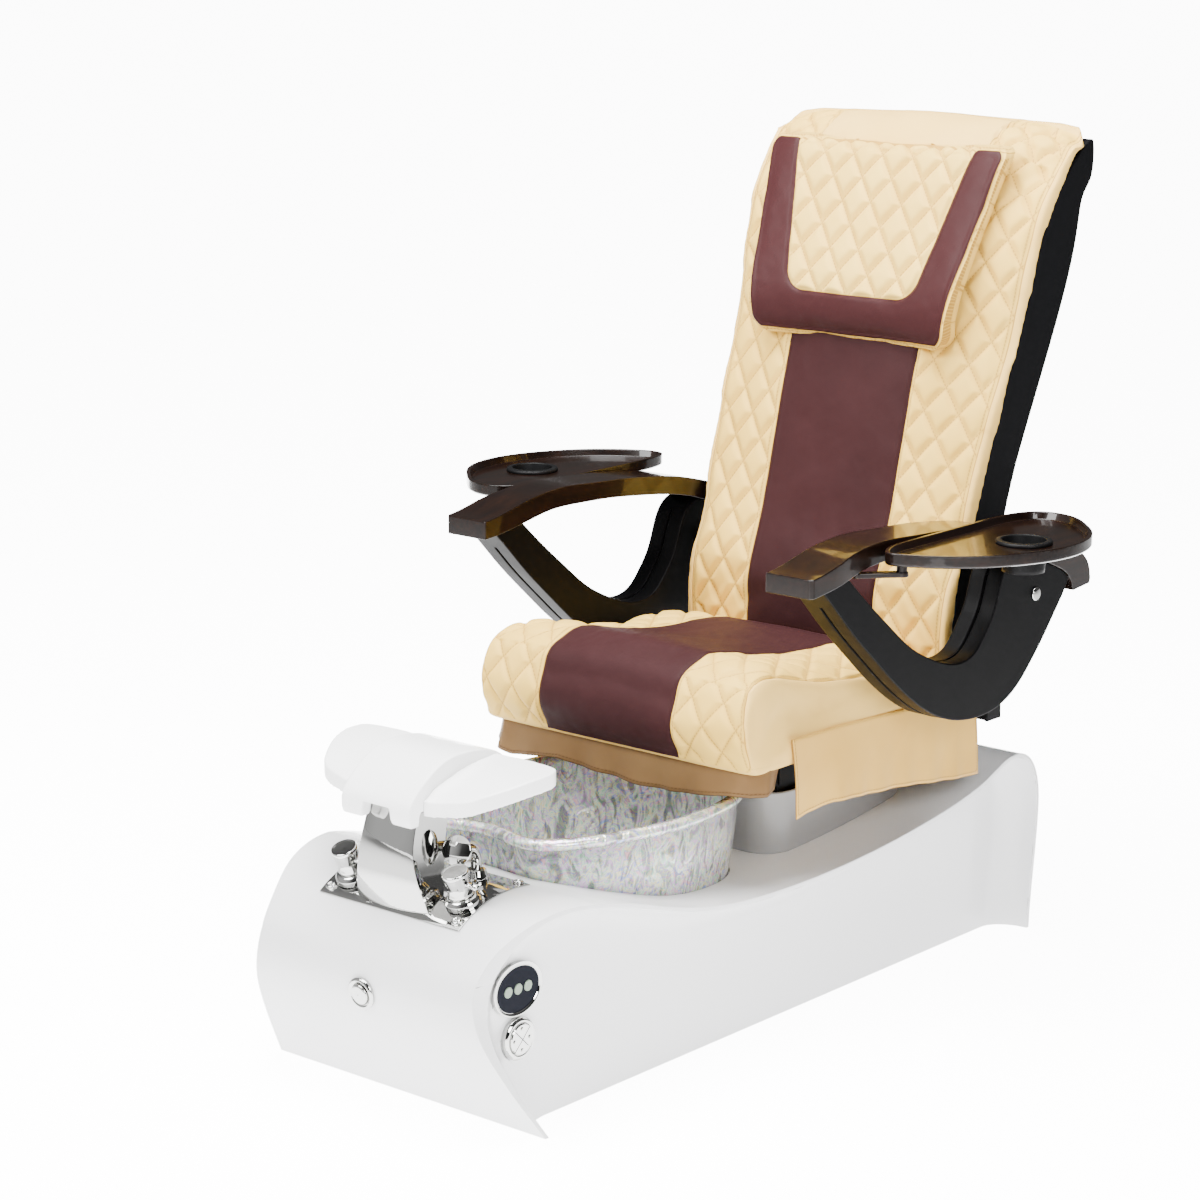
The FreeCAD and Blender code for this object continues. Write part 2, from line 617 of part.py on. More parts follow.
def make_controls():
    wall = WALL_X
    ring = oval_plug(PANEL_A, PANEL_B, wall, wall + PANEL_T, PANEL_Y, PANEL_Z)
    neck = oval_plug(PANEL_A - 8.5, PANEL_B - 8.5, wall - 14, wall, PANEL_Y, PANEL_Z)
    hole = oval_plug(PANEL_A - 12, PANEL_B - 12, wall - 20, wall + 20, PANEL_Y, PANEL_Z)
    seat = oval_plug(PANEL_A - 6, PANEL_B - 6, wall + 3, wall + 20, PANEL_Y, PANEL_Z)
    export("panel_bezel", ring.fuse(neck).cut([hole, seat]))
    face = oval_plug(PANEL_A - 6.2, PANEL_B - 6.2, wall + 3, wall + PANEL_T - 1.5, PANEL_Y, PANEL_Z)
    backing = oval_plug(PANEL_A - 12.4, PANEL_B - 12.4, wall - 14, wall + 3, PANEL_Y, PANEL_Z)
    face = face.fuse(backing)
    sockets = []
    for y in PANEL_BUTTONS:
        sockets.append(rod((wall - 8, PANEL_Y + y, PANEL_Z), (wall + 20, PANEL_Y + y, PANEL_Z),
                           PANEL_BUTTON_R + RUN))
    export("panel_face", face.cut(sockets))
    for i, y in enumerate(PANEL_BUTTONS):
        cap = turned((wall, PANEL_Y + y, PANEL_Z), (1, 0, 0),
                     [(0, -4), (PANEL_BUTTON_R, -4), (PANEL_BUTTON_R, 8.2), (PANEL_BUTTON_R - 1, 9), (0, 9)])
        export(f"panel_button_{i + 1}", cap)
    housing = turned((wall, KEYPAD_Y, KEYPAD_Z), (1, 0, 0),
                     [(0, -14), (KEYPAD_R - 8.5, -14), (KEYPAD_R - 8.5, 0), (KEYPAD_R, 0), (KEYPAD_R, 8),
                      (KEYPAD_R - 4, KEYPAD_T), (26, KEYPAD_T), (26, 4), (0, 4)])
    export("keypad_housing", housing)
    for i in range(4):
        key = quarter_key(i, wall)
        export(f"keypad_button_{i + 1}", key)
    at, normal = nose_frame()
    bezel = turned(at, normal, [(9.5, -22), (12.5, -22), (12.5, -3), (FRONT_BUTTON_R, -3),
                                 (FRONT_BUTTON_R, 4), (FRONT_BUTTON_R - 4, 7), (20, 5), (17.5, 5), (17.5, 0),
                                 (9.5, 0)])
    bezel = bezel.cut(base_nose_solid())
    export("front_button_bezel", bezel)
    cap = turned(at, normal, [(0, -18), (9, -18), (9, 3), (17, 3), (17, 8), (14, 9.5), (0, 10)])
    export("front_button", cap)


def base_nose_solid():
    """The nose wall without its button hole, to seat what lies on it."""
    at, normal = nose_frame()
    wall = base_block(0, 60).cut(base_block(BASE_SKIN, 61))
    return wall.cut(stub(at, normal, 13, -60, 60))


def quarter_key(index, wall):
    outer, gap = 25.6, 0.8
    key = turned((0, 0, 0), (1, 0, 0), [(0, 6), (outer, 6), (outer, 13), (outer - 1.5, 14.5), (0, 15)])
    key = key.common(block(0, 40, gap, 60, gap, 60))
    dot = rod((14, 12.5, 12.5), (16.5, 12.5, 12.5), 3)
    key = key.fuse(dot)
    key.rotate(V(0, 0, 0), V(1, 0, 0), 45 + 90 * index)
    key.translate(V(wall, KEYPAD_Y, KEYPAD_Z))
    return key


def make_control_box():
    box = rounded_block(-110, 110, 500, 630, FLOOR_PAN_T, 105, 12)
    lid = rounded_block(-114, 114, 496, 634, 105, 112, 12)
    glands = [rod((x, 485, 55), (x, 501, 55), 9) for x in (-60, 0, 60)]
    export("control_box", union([box, lid] + glands))


# Riser, seat frame and slide

SLIDE_X = 60.0
SLIDE_Z = 350.0
RECLINE_Z = 407.0
ROD_R = 10.0


def make_seat_box():
    outer = rounded_block(-BOX_HALF, BOX_HALF, BOX_FRONT, BOX_BACK, 180, BOX_TOP, BOX_R)
    w = BOX_WALL
    inner = rounded_block(-BOX_HALF + w, BOX_HALF - w, BOX_FRONT + w, BOX_BACK - w, 170, BOX_TOP + 1, BOX_R - w)
    export("seat_box", outer.cut([inner, base_block(0, BASE_HALF)]))


def make_riser():
    pieces = []
    posts = (130, 410)
    for side in (-1, 1):
        x0, x1 = sorted((side * RAIL_X, side * (RAIL_X + RAIL_W)))
        for y in posts:
            pieces.append(block(x0, x1, y - 14, y + 14, FLOOR_PAN_T, RAIL_Z - 25))
            pieces.append(block(min(x0, x1) - 8, max(x0, x1) + 8, y - 30, y + 30, FLOOR_PAN_T, FLOOR_PAN_T + 5))
        pieces.append(block(x0, x1, 88, 432, RAIL_Z - 25, RAIL_Z))
        pieces.append(block(x0, x1, 70, 450, RAIL_Z, RAIL_Z + RAIL_W))
    for y in posts:
        pieces.append(block(-RAIL_X, RAIL_X, y - 12, y + 12, 290, 315))
    export("riser_frame", union(pieces))
    body = rod((SLIDE_X, 290, SLIDE_Z), (SLIDE_X, 445, SLIDE_Z), 18)
    gear = rod((SLIDE_X - 40, 420, SLIDE_Z - 12), (SLIDE_X - 40, 340, SLIDE_Z - 12), 21)
    joint = block(SLIDE_X - 40, SLIDE_X, 415, 445, SLIDE_Z - 18, SLIDE_Z + 10)
    leg = block(SLIDE_X - 12, SLIDE_X + 12, 402, 418, 315, SLIDE_Z - 5)
    body = union([body, gear, joint, leg])
    export("slide_actuator", body.cut(rod((SLIDE_X, 280, SLIDE_Z), (SLIDE_X, 440, SLIDE_Z), ROD_R + SHAFT_FIT)))


def make_seat_frame():
    pieces = []
    top = FRAME_Z + TUBE
    for side in (-1, 1):
        x0, x1 = sorted((side * (RAIL_X - 4), side * (RAIL_X + RAIL_W + 4)))
        channel = block(x0, x1, 90, 470, RAIL_Z + 2, FRAME_Z)
        run = block(x0 + 4 - RUN, x1 - 4 + RUN, 0, 500, 300, RAIL_Z + RAIL_W + RUN)
        pieces.append(channel.cut(run))
        pieces.append(block(x0, x1, -110, 550, FRAME_Z, top))
        ear_in = side * (HINGE_X - 4)
        a, b = sorted((ear_in, side * (HINGE_X + 4)))
        ear = polygon([(380, FRAME_Z), (480, FRAME_Z), (452, HINGE_Z + 10), (HINGE_Y, HINGE_Z + 20),
                       (408, HINGE_Z + 10)], "X", a, b)
        c, d = sorted((side * (RAIL_X + 20), side * (HINGE_X + 4)))
        foot = block(c, d, 380, 480, FRAME_Z, FRAME_Z + 8)
        pieces += [ear, foot]
        arm_a, arm_b = sorted((side * ARM_PLATE_IN, side * ARM_PLATE_OUT))
        plate = polygon([(514, FRAME_Z), (556, FRAME_Z), (553, PIVOT_Z), (PIVOT_Y, PIVOT_Z + 22),
                         (509, PIVOT_Z)], "X", arm_a, arm_b)
        pieces.append(plate)
    for y, half in ((-110, 170), (300, 140)):
        pieces.append(block(-half, half, y, y + 30, FRAME_Z + 10, top))
    pieces.append(block(-ARM_PLATE_OUT, ARM_PLATE_OUT, 518, 550, FRAME_Z, FRAME_Z + 30))
    pieces.append(block(SLIDE_X - 10, SLIDE_X + 10, 168, 188, SLIDE_Z + 14, FRAME_Z + 20))
    pieces.append(block(-RAIL_X, RAIL_X, 165, 191, FRAME_Z + 15, top))
    pieces.append(block(-26, 26, 165, 191, RECLINE_Z - 26, FRAME_Z + 20))
    frame = union(pieces)
    bores = []
    for side in (-1, 1):
        bores.append(rod((side * (HINGE_X - 20), HINGE_Y, HINGE_Z), (side * (HINGE_X + 20), HINGE_Y, HINGE_Z),
                         HINGE_R + SHAFT_FIT))
        bores.append(rod((side * (ARM_PLATE_IN - 9), PIVOT_Y, PIVOT_Z),
                         (side * (ARM_PLATE_OUT + 9), PIVOT_Y, PIVOT_Z), ARM_PIN_R))
    bores.append(rod((0, 160, RECLINE_Z), (0, 195, RECLINE_Z), 16))
    export("seat_frame", frame.cut(bores))
    shaft = rod((SLIDE_X, 180, SLIDE_Z), (SLIDE_X, 355, SLIDE_Z), ROD_R)
    eye = rod((SLIDE_X, 162, SLIDE_Z), (SLIDE_X, 192, SLIDE_Z), 14)
    export("slide_rod", shaft.fuse(eye))
    make_recline_drive()


HINGE_X = 262.0
HINGE_R = 8.0
ARM_PLATE_IN = ARM_IN - 21.5
ARM_PLATE_OUT = ARM_IN - 15.5
ARM_PIN_R = 8.0


def lever_tip():
    turn = math.radians(RECLINE / 2)
    return HINGE_Y + LEVER * math.sin(turn), HINGE_Z - LEVER * math.cos(turn)


def make_recline_drive():
    tip_y, tip_z = lever_tip()
    body = rod((0, 130, RECLINE_Z), (0, 320, RECLINE_Z), 16)
    sleeve = rod((0, 192, RECLINE_Z), (0, 312, RECLINE_Z), 20)
    motor = rod((-46, 200, RECLINE_Z + 6), (-46, 290, RECLINE_Z + 6), 24)
    gear = block(-46, 0, 196, 222, RECLINE_Z - 16, RECLINE_Z + 18)
    drive = union([body, sleeve, motor, gear])
    export("recline_actuator", drive.cut(rod((0, 150, RECLINE_Z), (0, 330, RECLINE_Z), ROD_R + SHAFT_FIT)))
    shaft = rod((0, 235, RECLINE_Z), (0, tip_y - 22, RECLINE_Z), ROD_R)
    fork = block(-15, 15, tip_y - 24, tip_y + 14, RECLINE_Z - 17, RECLINE_Z + 17)
    fork = fork.cut(block(-6, 6, tip_y - 16, tip_y + 20, RECLINE_Z - 20, RECLINE_Z + 20))
    play = 0.8
    slot = block(-20, 20, tip_y - 6 - play, tip_y + 6 + play, RECLINE_Z - 6 - 3.4, RECLINE_Z + 6 + 3.4)
    export("recline_rod", shaft.fuse(fork).cut(slot))


# Seat cushion and covers

def make_seat():
    rear = [(SEAT_BACK_Y, 570), (SEAT_BACK_Y, SEAT_BOTTOM)]
    wires = []
    for x, pull, sink in ((-SEAT_HALF, 16, 30), (-SEAT_HALF + 14, 5, 14), (-200, 0, 6), (0, 0, 0),
                          (200, 0, 6), (SEAT_HALF - 14, 5, 14), (SEAT_HALF, 16, 30)):
        top = [(y + pull * max(0.0, min(1.0, (80 - y) / 200)), z - sink * max(0.3, min(1.0, (z - 480) / 150)))
               for y, z in SEAT_TOP]
        nose = top[0]
        low = [(SEAT_BACK_Y, SEAT_BOTTOM), (nose[0] + 26, SEAT_BOTTOM)]
        curve = spline([(x, y, z) for y, z in top]).toShape()
        corners = [V(x, *top[-1]), V(x, SEAT_BACK_Y, 570 - sink / 2), V(x, *low[0]), V(x, *low[1]),
                   V(x, *nose)]
        edges = [curve] + [Part.makeLine(a, b) for a, b in zip(corners, corners[1:])]
        wires.append(Part.Wire(edges))
    export("seat_cushion", Part.makeLoft(wires, True, True))
    a = SEAT_HALF - 44
    apron = polygon([(-a, 478.5), (a, 478.5), (a + 12, 420), (150, 431), (0, 424), (-150, 433), (-a - 12, 420)],
                    "Y", -151, -147)
    export("seat_apron", apron)
    hem = [(-60, 518), (-39, 382), (57, 384), (160, 383), (266, 374), (375, 359), (499, 345), (500, 400),
           (478, 470), (372, 505), (200, 521)]
    skirt = polygon(hem, "X", SEAT_HALF + 1.0, SEAT_HALF + 3.2)
    export("seat_skirts", both_sides(skirt))


# Back

def lean_point(u, n):
    """Place in the back's own directions: u along its frame from the hinge, n behind it."""
    s, c = math.sin(math.radians(LEAN)), math.cos(math.radians(LEAN))
    return HINGE_Y + u * s + n * c, HINGE_Z + u * c - n * s


def lean_block(x0, x1, u0, u1, n0, n1):
    corners = [lean_point(u0, n0), lean_point(u1, n0), lean_point(u1, n1), lean_point(u0, n1)]
    return polygon(corners, "X", x0, x1)


def back_outline(inset=0.0):
    """Front-view outline that the back's width follows."""
    spread = BACK_HALF_TOP - BACK_HALF_LOW
    right = [(BACK_HALF_LOW + share * spread - inset, z) for z, share in BACK_WIDTHS]
    (x0, z0), (x1, z1) = right[0], right[-1]
    right = [(x0, z0 - 60)] + right + [(x1, z1 + 60)]
    return polygon(right + [(-x, z) for x, z in reversed(right)], "Y", 200, 1000)


def front_at(share):
    """Front curve between the centre line (share 0) and the side seam (share 1)."""
    centre = spline([(0, y, z) for y, z in CENTRE_FRONT])
    side = spline([(0, y, z) for y, z in SIDE_FRONT])
    points = []
    for i in range(11):
        c = centre.value(centre.FirstParameter + (centre.LastParameter - centre.FirstParameter) * i / 10)
        s = side.value(side.FirstParameter + (side.LastParameter - side.FirstParameter) * i / 10)
        points.append((c.y + (s.y - c.y) * share, c.z + (s.z - c.z) * share))
    return points


def back_cushion_solid():
    wires = []
    rear = [(y, z) for y, z in reversed(PARTING)]
    rim = BACK_HALF_TOP + 6
    for x, share in ((-rim, 1.05), (-290, 0.82), (-160, 0.3), (0, 0), (160, 0.3), (290, 0.82), (rim, 1.05)):
        wires.append(side_wire(front_at(share), rear, x))
    body = Part.makeLoft(wires, True, False)
    return body.common(back_outline())


def make_back():
    cushion = back_cushion_solid()
    export("back_cushion", cushion)
    shell = slab(side_wire(SHELL_REAR, list(reversed(PARTING)), -400), 800).common(back_outline(3))
    hollow_rear = [(SHELL_REAR[0][0] - SHELL_WALL * 1.2, 480)]
    hollow_rear += [(y - SHELL_WALL * 1.2, z) for y, z in SHELL_REAR[:-2]]
    hollow_front = [(380, 480)] + [(y - 30, z) for y, z in PARTING[:-1]]
    inner = polygon(hollow_rear + list(reversed(hollow_front)), "X", -400, 400)
    inner = inner.common(back_outline(3 + SHELL_WALL))
    export("back_shell", shell.cut(inner))
    make_back_frame()
    make_massage()
    make_pillow(cushion)


def make_back_frame():
    pieces = []
    for side in (-1, 1):
        x0, x1 = sorted((side * 225, side * 250))
        pieces.append(lean_block(x0, x1, -14, 850, -12, 13))
        p0, p1 = sorted((side * 226, side * (HINGE_X + 10)))
        pieces.append(rod((p0, HINGE_Y, HINGE_Z), (p1, HINGE_Y, HINGE_Z), HINGE_R))
    for u in (60, 140, 830):
        pieces.append(lean_block(-230, 230, u, u + 20, -12, 13))
    tip_y, tip_z = lever_tip()
    top_y, top_z = lean_point(72, 20)
    way = V(0, top_y - tip_y, top_z - tip_z)
    side_way = V(0, way.z, -way.y).normalize() * 12
    lever = polygon([(tip_y - side_way.y, tip_z - side_way.z), (tip_y + side_way.y, tip_z + side_way.z),
                     (top_y + side_way.y * 1.5, top_z + side_way.z * 1.5),
                     (top_y - side_way.y * 1.5, top_z - side_way.z * 1.5)], "X", -5, 5)
    pin = rod((-13, tip_y, tip_z), (13, tip_y, tip_z), 6)
    eye = rod((-5, tip_y, tip_z), (5, tip_y, tip_z), 12)
    pieces += [lever, pin, eye]
    export("back_frame", union(pieces))


RAIL_U0, RAIL_U1 = 200.0, 815.0
CARRIAGE_U = 300.0
ROLLER_R = 27.0
ROLLER_N = -31.0


def make_massage():
    rails = []
    for x in (-110, 110):
        y0, z0 = lean_point(RAIL_U0, 0)
        y1, z1 = lean_point(RAIL_U1, 0)
        rails.append(rod((x, y0, z0), (x, y1, z1), 8))
    for u in (RAIL_U0 - 10, RAIL_U1):
        rails.append(lean_block(-222, 222, u, u + 10, -12, 12))
    export("massage_rails", union(rails))
    u = CARRIAGE_U
    pieces = [lean_block(-128, 128, u - 35, u + 35, 12, 24)]
    for side in (-1, 1):
        a, b = sorted((side * 96, side * 124))
        pieces.append(lean_block(a, b, u - 35, u + 35, -14, 14))
        c, d = sorted((side * 82, side * 90))
        pieces.append(lean_block(c, d, u - 12, u + 12, -40, 14))
    y, z = lean_point(u, ROLLER_N)
    carriage = union(pieces)
    bores = [rod((-100, y, z), (100, y, z), 6 + SHAFT_FIT)]
    for x in (-110, 110):
        y0, z0 = lean_point(u - 60, 0)
        y1, z1 = lean_point(u + 60, 0)
        bores.append(rod((x, y0, z0), (x, y1, z1), 8 + SHAFT_FIT))
    export("massage_carriage", carriage.cut(bores))
    shaft = rod((-92, y, z), (92, y, z), 6)
    rollers = [shaft]
    for x in (-66, -30, 30, 66):
        rollers.append(turned((x, y, z), (1, 0, 0), [(0, -12), (20, -12), (ROLLER_R, -4), (ROLLER_R, 4),
                                                     (20, 12), (0, 12)]))
    export("massage_rollers", union(rollers))


def make_pillow(cushion):
    front = [(512, 1106), (497, 1122), (490, 1160), (498, 1205), (520, 1260), (560, 1350), (590, 1420),
             (606, 1446), (632, 1460)]
    back = [(720, 1460), (600, 1106)]
    wires = []
    for x, shift in ((-262, 15), (-250, 9), (-150, 2), (0, 0), (150, 2), (250, 9), (262, 15)):
        wires.append(side_wire([(y + shift, z) for y, z in front], back, x))
    pad = Part.makeLoft(wires, True, False)
    outline = polygon([(-198, 1106), (198, 1106), (219, 1112), (228, 1130), (262, 1430), (254, 1448),
                       (236, 1458), (-236, 1458), (-254, 1448), (-262, 1430), (-228, 1130), (-219, 1112)],
                      "Y", 300, 900)
    nudged = cushion.copy()
    nudged.translate(V(0, -0.6, 0))
    pad = pad.common(outline).cut(nudged)
    export("pillow", sorted(pad.Solids, key=lambda s: s.CenterOfMass.y)[0])


# Arms, boards, trays and cups

def arm_groove():
    """The joint between the two halves of an arm: a band that stands off the outline by the groove's depth."""
    half = ARM_GROOVE_W / 2
    pieces = []
    for points in (ARM_LOW, ARM_LOOP):
        line = spline([(0, y, z) for y, z in points])
        start, end = [line.parameter(V(0, *points[i])) for i in (1, -2)]
        low, high = [], []
        for i in range(41):
            u = start + (end - start) * i / 40
            at, along = line.value(u), line.tangent(u)[0]
            across = V(0, -along.z, along.y) * ARM_GROOVE_D
            low.append((at.y - across.y, at.z - across.z))
            high.append((at.y + across.y, at.z + across.z))
        pieces.append(slab(side_wire(low, list(reversed(high)), ARM_GROOVE_X - half), ARM_GROOVE_W))
    return pieces


def make_arms():
    board = slab(side_wire(BOARD_TOP, BOARD_LOW, BOARD_IN), BOARD_OUT - BOARD_IN)
    plan = polygon([(BOARD_IN, -141), (BOARD_OUT - 6, -141), (BOARD_OUT, -134), (BOARD_OUT, -60),
                    (BOARD_SIDE, 0), (BOARD_SIDE, 720), (BOARD_IN, 720)], "Z", 600, 1000)
    board = board.common(plan)
    board = board.cut(block(BOARD_IN + 22, BOARD_SIDE - 22, 660, 682, 600, 700))
    pin_bore = rod((TRAY_PIN_X, TRAY_PIN_Y, 780), (TRAY_PIN_X, TRAY_PIN_Y, 838), TRAY_PIN_R + SHAFT_FIT)
    loop_wire = side_wire(ARM_LOW, ARM_LOOP, ARM_IN)
    arm = slab(loop_wire, ARM_OUT - ARM_IN)
    top = polygon([(-93, 797), (-26, 808), (-20, 830), (-80, 820)], "X", ARM_IN, ARM_OUT)
    rear = polygon([(643, 723), (630, 745), (480, 795), (469, 775), (560, 700)], "X", ARM_IN, ARM_OUT)
    arm = arm.fuse([top, rear]).cut(board)
    arm = sorted(arm.Solids, key=lambda s: -s.Volume)[0]
    arm = arm.cut(arm_groove())
    bore = rod((ARM_IN - 2, PIVOT_Y, PIVOT_Z), (ARM_OUT + 2, PIVOT_Y, PIVOT_Z), ARM_PIN_R + SHAFT_FIT)
    arm = arm.cut(bore)
    board = board.cut(pin_bore)
    for side, name in ((1, "right"), (-1, "left")):
        export("arm_frame_" + name, arm if side > 0 else mirrored(arm))
        export("arm_board_" + name, board if side > 0 else mirrored(board))
    pin = turned((ARM_PLATE_IN, PIVOT_Y, PIVOT_Z), (1, 0, 0),
                 [(0, 0), (ARM_PIN_R, 0), (ARM_PIN_R, ARM_OUT + 0.5 - ARM_PLATE_IN),
                  (12.5, ARM_OUT + 0.5 - ARM_PLATE_IN), (12.5, ARM_OUT + 3.0 - ARM_PLATE_IN),
                  (10.5, ARM_OUT + 4.5 - ARM_PLATE_IN), (0, ARM_OUT + 4.5 - ARM_PLATE_IN)])
    export("arm_pins", both_sides(pin))
    make_trays()


TRAY_PIN_R = 6.0


def tray_wire(inset, z, turn=False, samples=44):
    outline = [(BOARD_SIDE + x, y) for x, y in TRAY_OUTLINE]
    if turn:
        outline = [(x, TRAY_TURN_Y - y) for x, y in reversed(outline)]
    curve = spline([(x, y, z) for x, y in outline], True)
    if inset == 0:
        return Part.Wire(curve.toShape())
    first, last = curve.FirstParameter, curve.LastParameter
    points = []
    for i in range(samples):
        u = first + (last - first) * i / samples
        at, along = curve.value(u), curve.tangent(u)[0]
        points.append((at.x + along.y * inset, at.y - along.x * inset, z))
    return Part.Wire(spline(points, True).toShape())


def make_trays():
    """The same tray on both arms: the left one is the right one turned half round."""
    for name, turn in (("right", False), ("left", True)):
        plate = Part.Face(tray_wire(0, TRAY_BOTTOM + 3, turn)).extrude(V(0, 0, TRAY_TOP - TRAY_BOTTOM - 3))
        foot = Part.makeLoft([tray_wire(4, TRAY_BOTTOM, turn), tray_wire(0, TRAY_BOTTOM + 3, turn)], True, False)
        dish = Part.makeLoft([tray_wire(12, TRAY_FLOOR, turn), tray_wire(7, TRAY_TOP + 0.5, turn)], True, False)
        tray = plate.fuse(foot).cut(dish)
        x, y = CUP_RIGHT
        if turn:
            y = TRAY_TURN_Y - y
        tray = tray.cut(rod((x, y, 800), (x, y, 900), CUP_R + 0.4))
        low, high = TRAY_BOTTOM - 25, TRAY_BOTTOM - 17
        arm = union([rod((TRAY_PIN_X, TRAY_PIN_Y, low), (TRAY_PIN_X, TRAY_PIN_Y, high), 11),
                     rod((*TRAY_BOSS, low), (*TRAY_BOSS, high), 11), link(TRAY_BOSS, low, high),
                     rod((*TRAY_BOSS, high - 1), (*TRAY_BOSS, TRAY_FLOOR - 4), 9),
                     rod((TRAY_PIN_X, TRAY_PIN_Y, low), (TRAY_PIN_X, TRAY_PIN_Y, 836), TRAY_PIN_R)])
        tray = tray.fuse(arm)
        cup = turned((x, y, TRAY_FLOOR), (0, 0, 1),
                     [(0, -CUP_DEPTH), (CUP_R - 4, -CUP_DEPTH), (CUP_R, 0), (CUP_RIM_R, 0), (CUP_RIM_R - 1, 6),
                      (CUP_R - 2, 7), (CUP_R - 2.5, 3), (CUP_R - 6.5, -CUP_DEPTH + 2.5),
                      (0, -CUP_DEPTH + 2.5)])
        if turn:
            tray, cup = mirrored(tray), mirrored(cup)
        export("tray_" + name, tray)
        export("cup_" + name, cup)


def link(boss, low, high):
    """Flat bar between the swivel pin and the boss under the tray."""
    along = V(boss[0] - TRAY_PIN_X, boss[1] - TRAY_PIN_Y, 0).normalize()
    across = V(-along.y, along.x, 0) * 10
    a, b = V(TRAY_PIN_X, TRAY_PIN_Y, 0), V(boss[0], boss[1], 0)
    corners = [a - across, a + across, b + across, b - across]
    return polygon([(p.x, p.y) for p in corners], "Z", low, high)


os.makedirs("parts", exist_ok=True)
make_base()
make_basin()
make_deck()
make_controls()
make_control_box()
make_seat_box()
make_riser()
make_seat_frame()
make_seat()
make_back()
make_arms()
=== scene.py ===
# %% [markdown]
# # A pedicure spa chair, dressed piece by piece
# The construction model gives every hard piece its true place. This lesson starts from that frame, sets up a
# photographer's corner, and then gives each piece the surface, the rounding or the padding of the real one.

# %% Load the frame
import json
import math

import bmesh
import bpy
import numpy as np
from mathutils import Matrix, Vector, noise


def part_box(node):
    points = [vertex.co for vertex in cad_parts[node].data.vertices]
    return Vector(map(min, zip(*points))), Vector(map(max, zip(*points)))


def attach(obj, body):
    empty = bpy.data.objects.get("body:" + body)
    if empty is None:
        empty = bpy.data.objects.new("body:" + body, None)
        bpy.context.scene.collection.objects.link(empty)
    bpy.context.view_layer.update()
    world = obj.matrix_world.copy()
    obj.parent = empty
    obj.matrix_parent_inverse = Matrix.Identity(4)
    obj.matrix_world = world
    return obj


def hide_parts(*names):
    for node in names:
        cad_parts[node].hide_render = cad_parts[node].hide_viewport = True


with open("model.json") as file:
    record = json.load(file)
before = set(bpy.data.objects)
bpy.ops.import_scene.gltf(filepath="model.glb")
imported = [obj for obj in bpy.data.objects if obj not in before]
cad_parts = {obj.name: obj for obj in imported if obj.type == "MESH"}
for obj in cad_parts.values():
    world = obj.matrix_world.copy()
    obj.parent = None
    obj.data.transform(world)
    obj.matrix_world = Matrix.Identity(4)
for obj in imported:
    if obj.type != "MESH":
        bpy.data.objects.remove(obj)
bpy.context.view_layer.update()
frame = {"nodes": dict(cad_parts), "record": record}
nodes = frame["nodes"]
print("nodes in the frame:", len(nodes))

# %% [markdown]
# ## The camera
# The photograph was taken from the chair's front right, a little above the arms, with a long lens. The place
# and the focal length were worked out from the base's corners on the floor, so the camera only repeats them
# here. An object in Blender is a place for its data, which is a camera, a lamp or a mesh.

# %% Place an object
scene = bpy.context.scene


def place(name, data):
    """Puts an object with its data in the scene."""
    piece = bpy.data.objects.new(name, data)
    scene.collection.objects.link(piece)
    return piece


def to_mesh(form, name):
    """Turns a bmesh, in which shapes are worked on, into a mesh."""
    mesh = bpy.data.meshes.new(name)
    form.to_mesh(mesh)
    form.free()
    return mesh


# %% Camera
CAMERA_PLACE = (3.50377, -4.24956, 1.98463)
CAMERA_TURN, CAMERA_DIP = 40.82, 13.05

camera_data = bpy.data.cameras.new("camera")
camera_data.sensor_width = 36.0
camera_data.lens = 97.77
camera_data.clip_end = 200.0
camera = place("camera", camera_data)
camera.location = CAMERA_PLACE
camera.rotation_euler = (math.radians(90 - CAMERA_DIP), 0, math.radians(CAMERA_TURN))
bpy.context.scene.camera = camera
print("lens:", round(camera_data.lens, 1), "mm")

# %% [markdown]
# ## Small helpers
# A material is a graph of nodes. One function adds a node with its settings and its links, one turns the
# colours that people write, such as #E6D2AE, into the linear values that the shader adds up, and one starts a
# material.

# %% Helpers for materials
def linear(code):
    """An sRGB hex colour as the linear RGBA that a shader socket takes."""
    channels = [int(code[i:i + 2], 16) / 255 for i in (1, 3, 5)]
    return [c / 12.92 if c <= 0.04045 else ((c + 0.055) / 1.055) ** 2.4 for c in channels] + [1.0]


def add(tree, kind, inputs=None, to=None, stops=(), **settings):
    """Adds a shader node of a kind. An input is a hex colour, a number, or a node or socket that is linked to
    it. The new node's output is linked to the socket given as to. stops are a colour ramp's (position, hex)
    pairs."""
    made = tree.nodes.new("ShaderNode" + kind)
    for name, value in settings.items():
        setattr(made, name, value)
    for name, value in (inputs or {}).items():
        if isinstance(value, bpy.types.Node):
            value = next(output for output in value.outputs if output.enabled)
        if isinstance(value, bpy.types.NodeSocket):
            tree.links.new(value, made.inputs[name])
        else:
            made.inputs[name].default_value = linear(value) if isinstance(value, str) else value
    for number, (position, code) in enumerate(stops):
        bar = made.color_ramp.elements
        spot = bar[number] if number < 2 else bar.new(position)
        spot.position, spot.color = position, linear(code)
    if to:
        tree.links.new(next(output for output in made.outputs if output.enabled), to)
    return made


def start_material(name, **sockets):
    """A material with one Principled shader, whose sockets are given by their names with _ for a space. The
    last thing given back is the point's own place on the object, in metres."""
    material = bpy.data.materials.new(name)
    material.use_nodes = True
    tree = material.node_tree
    shader = tree.nodes["Principled BSDF"]
    for key, value in sockets.items():
        value = linear(value) if isinstance(value, str) else value
        shader.inputs[key.replace("_", " ")].default_value = value
    return material, tree, shader, add(tree, "TexCoord").outputs["Object"]


print("middle grey is", round(linear("#808080")[0], 3), "of white")

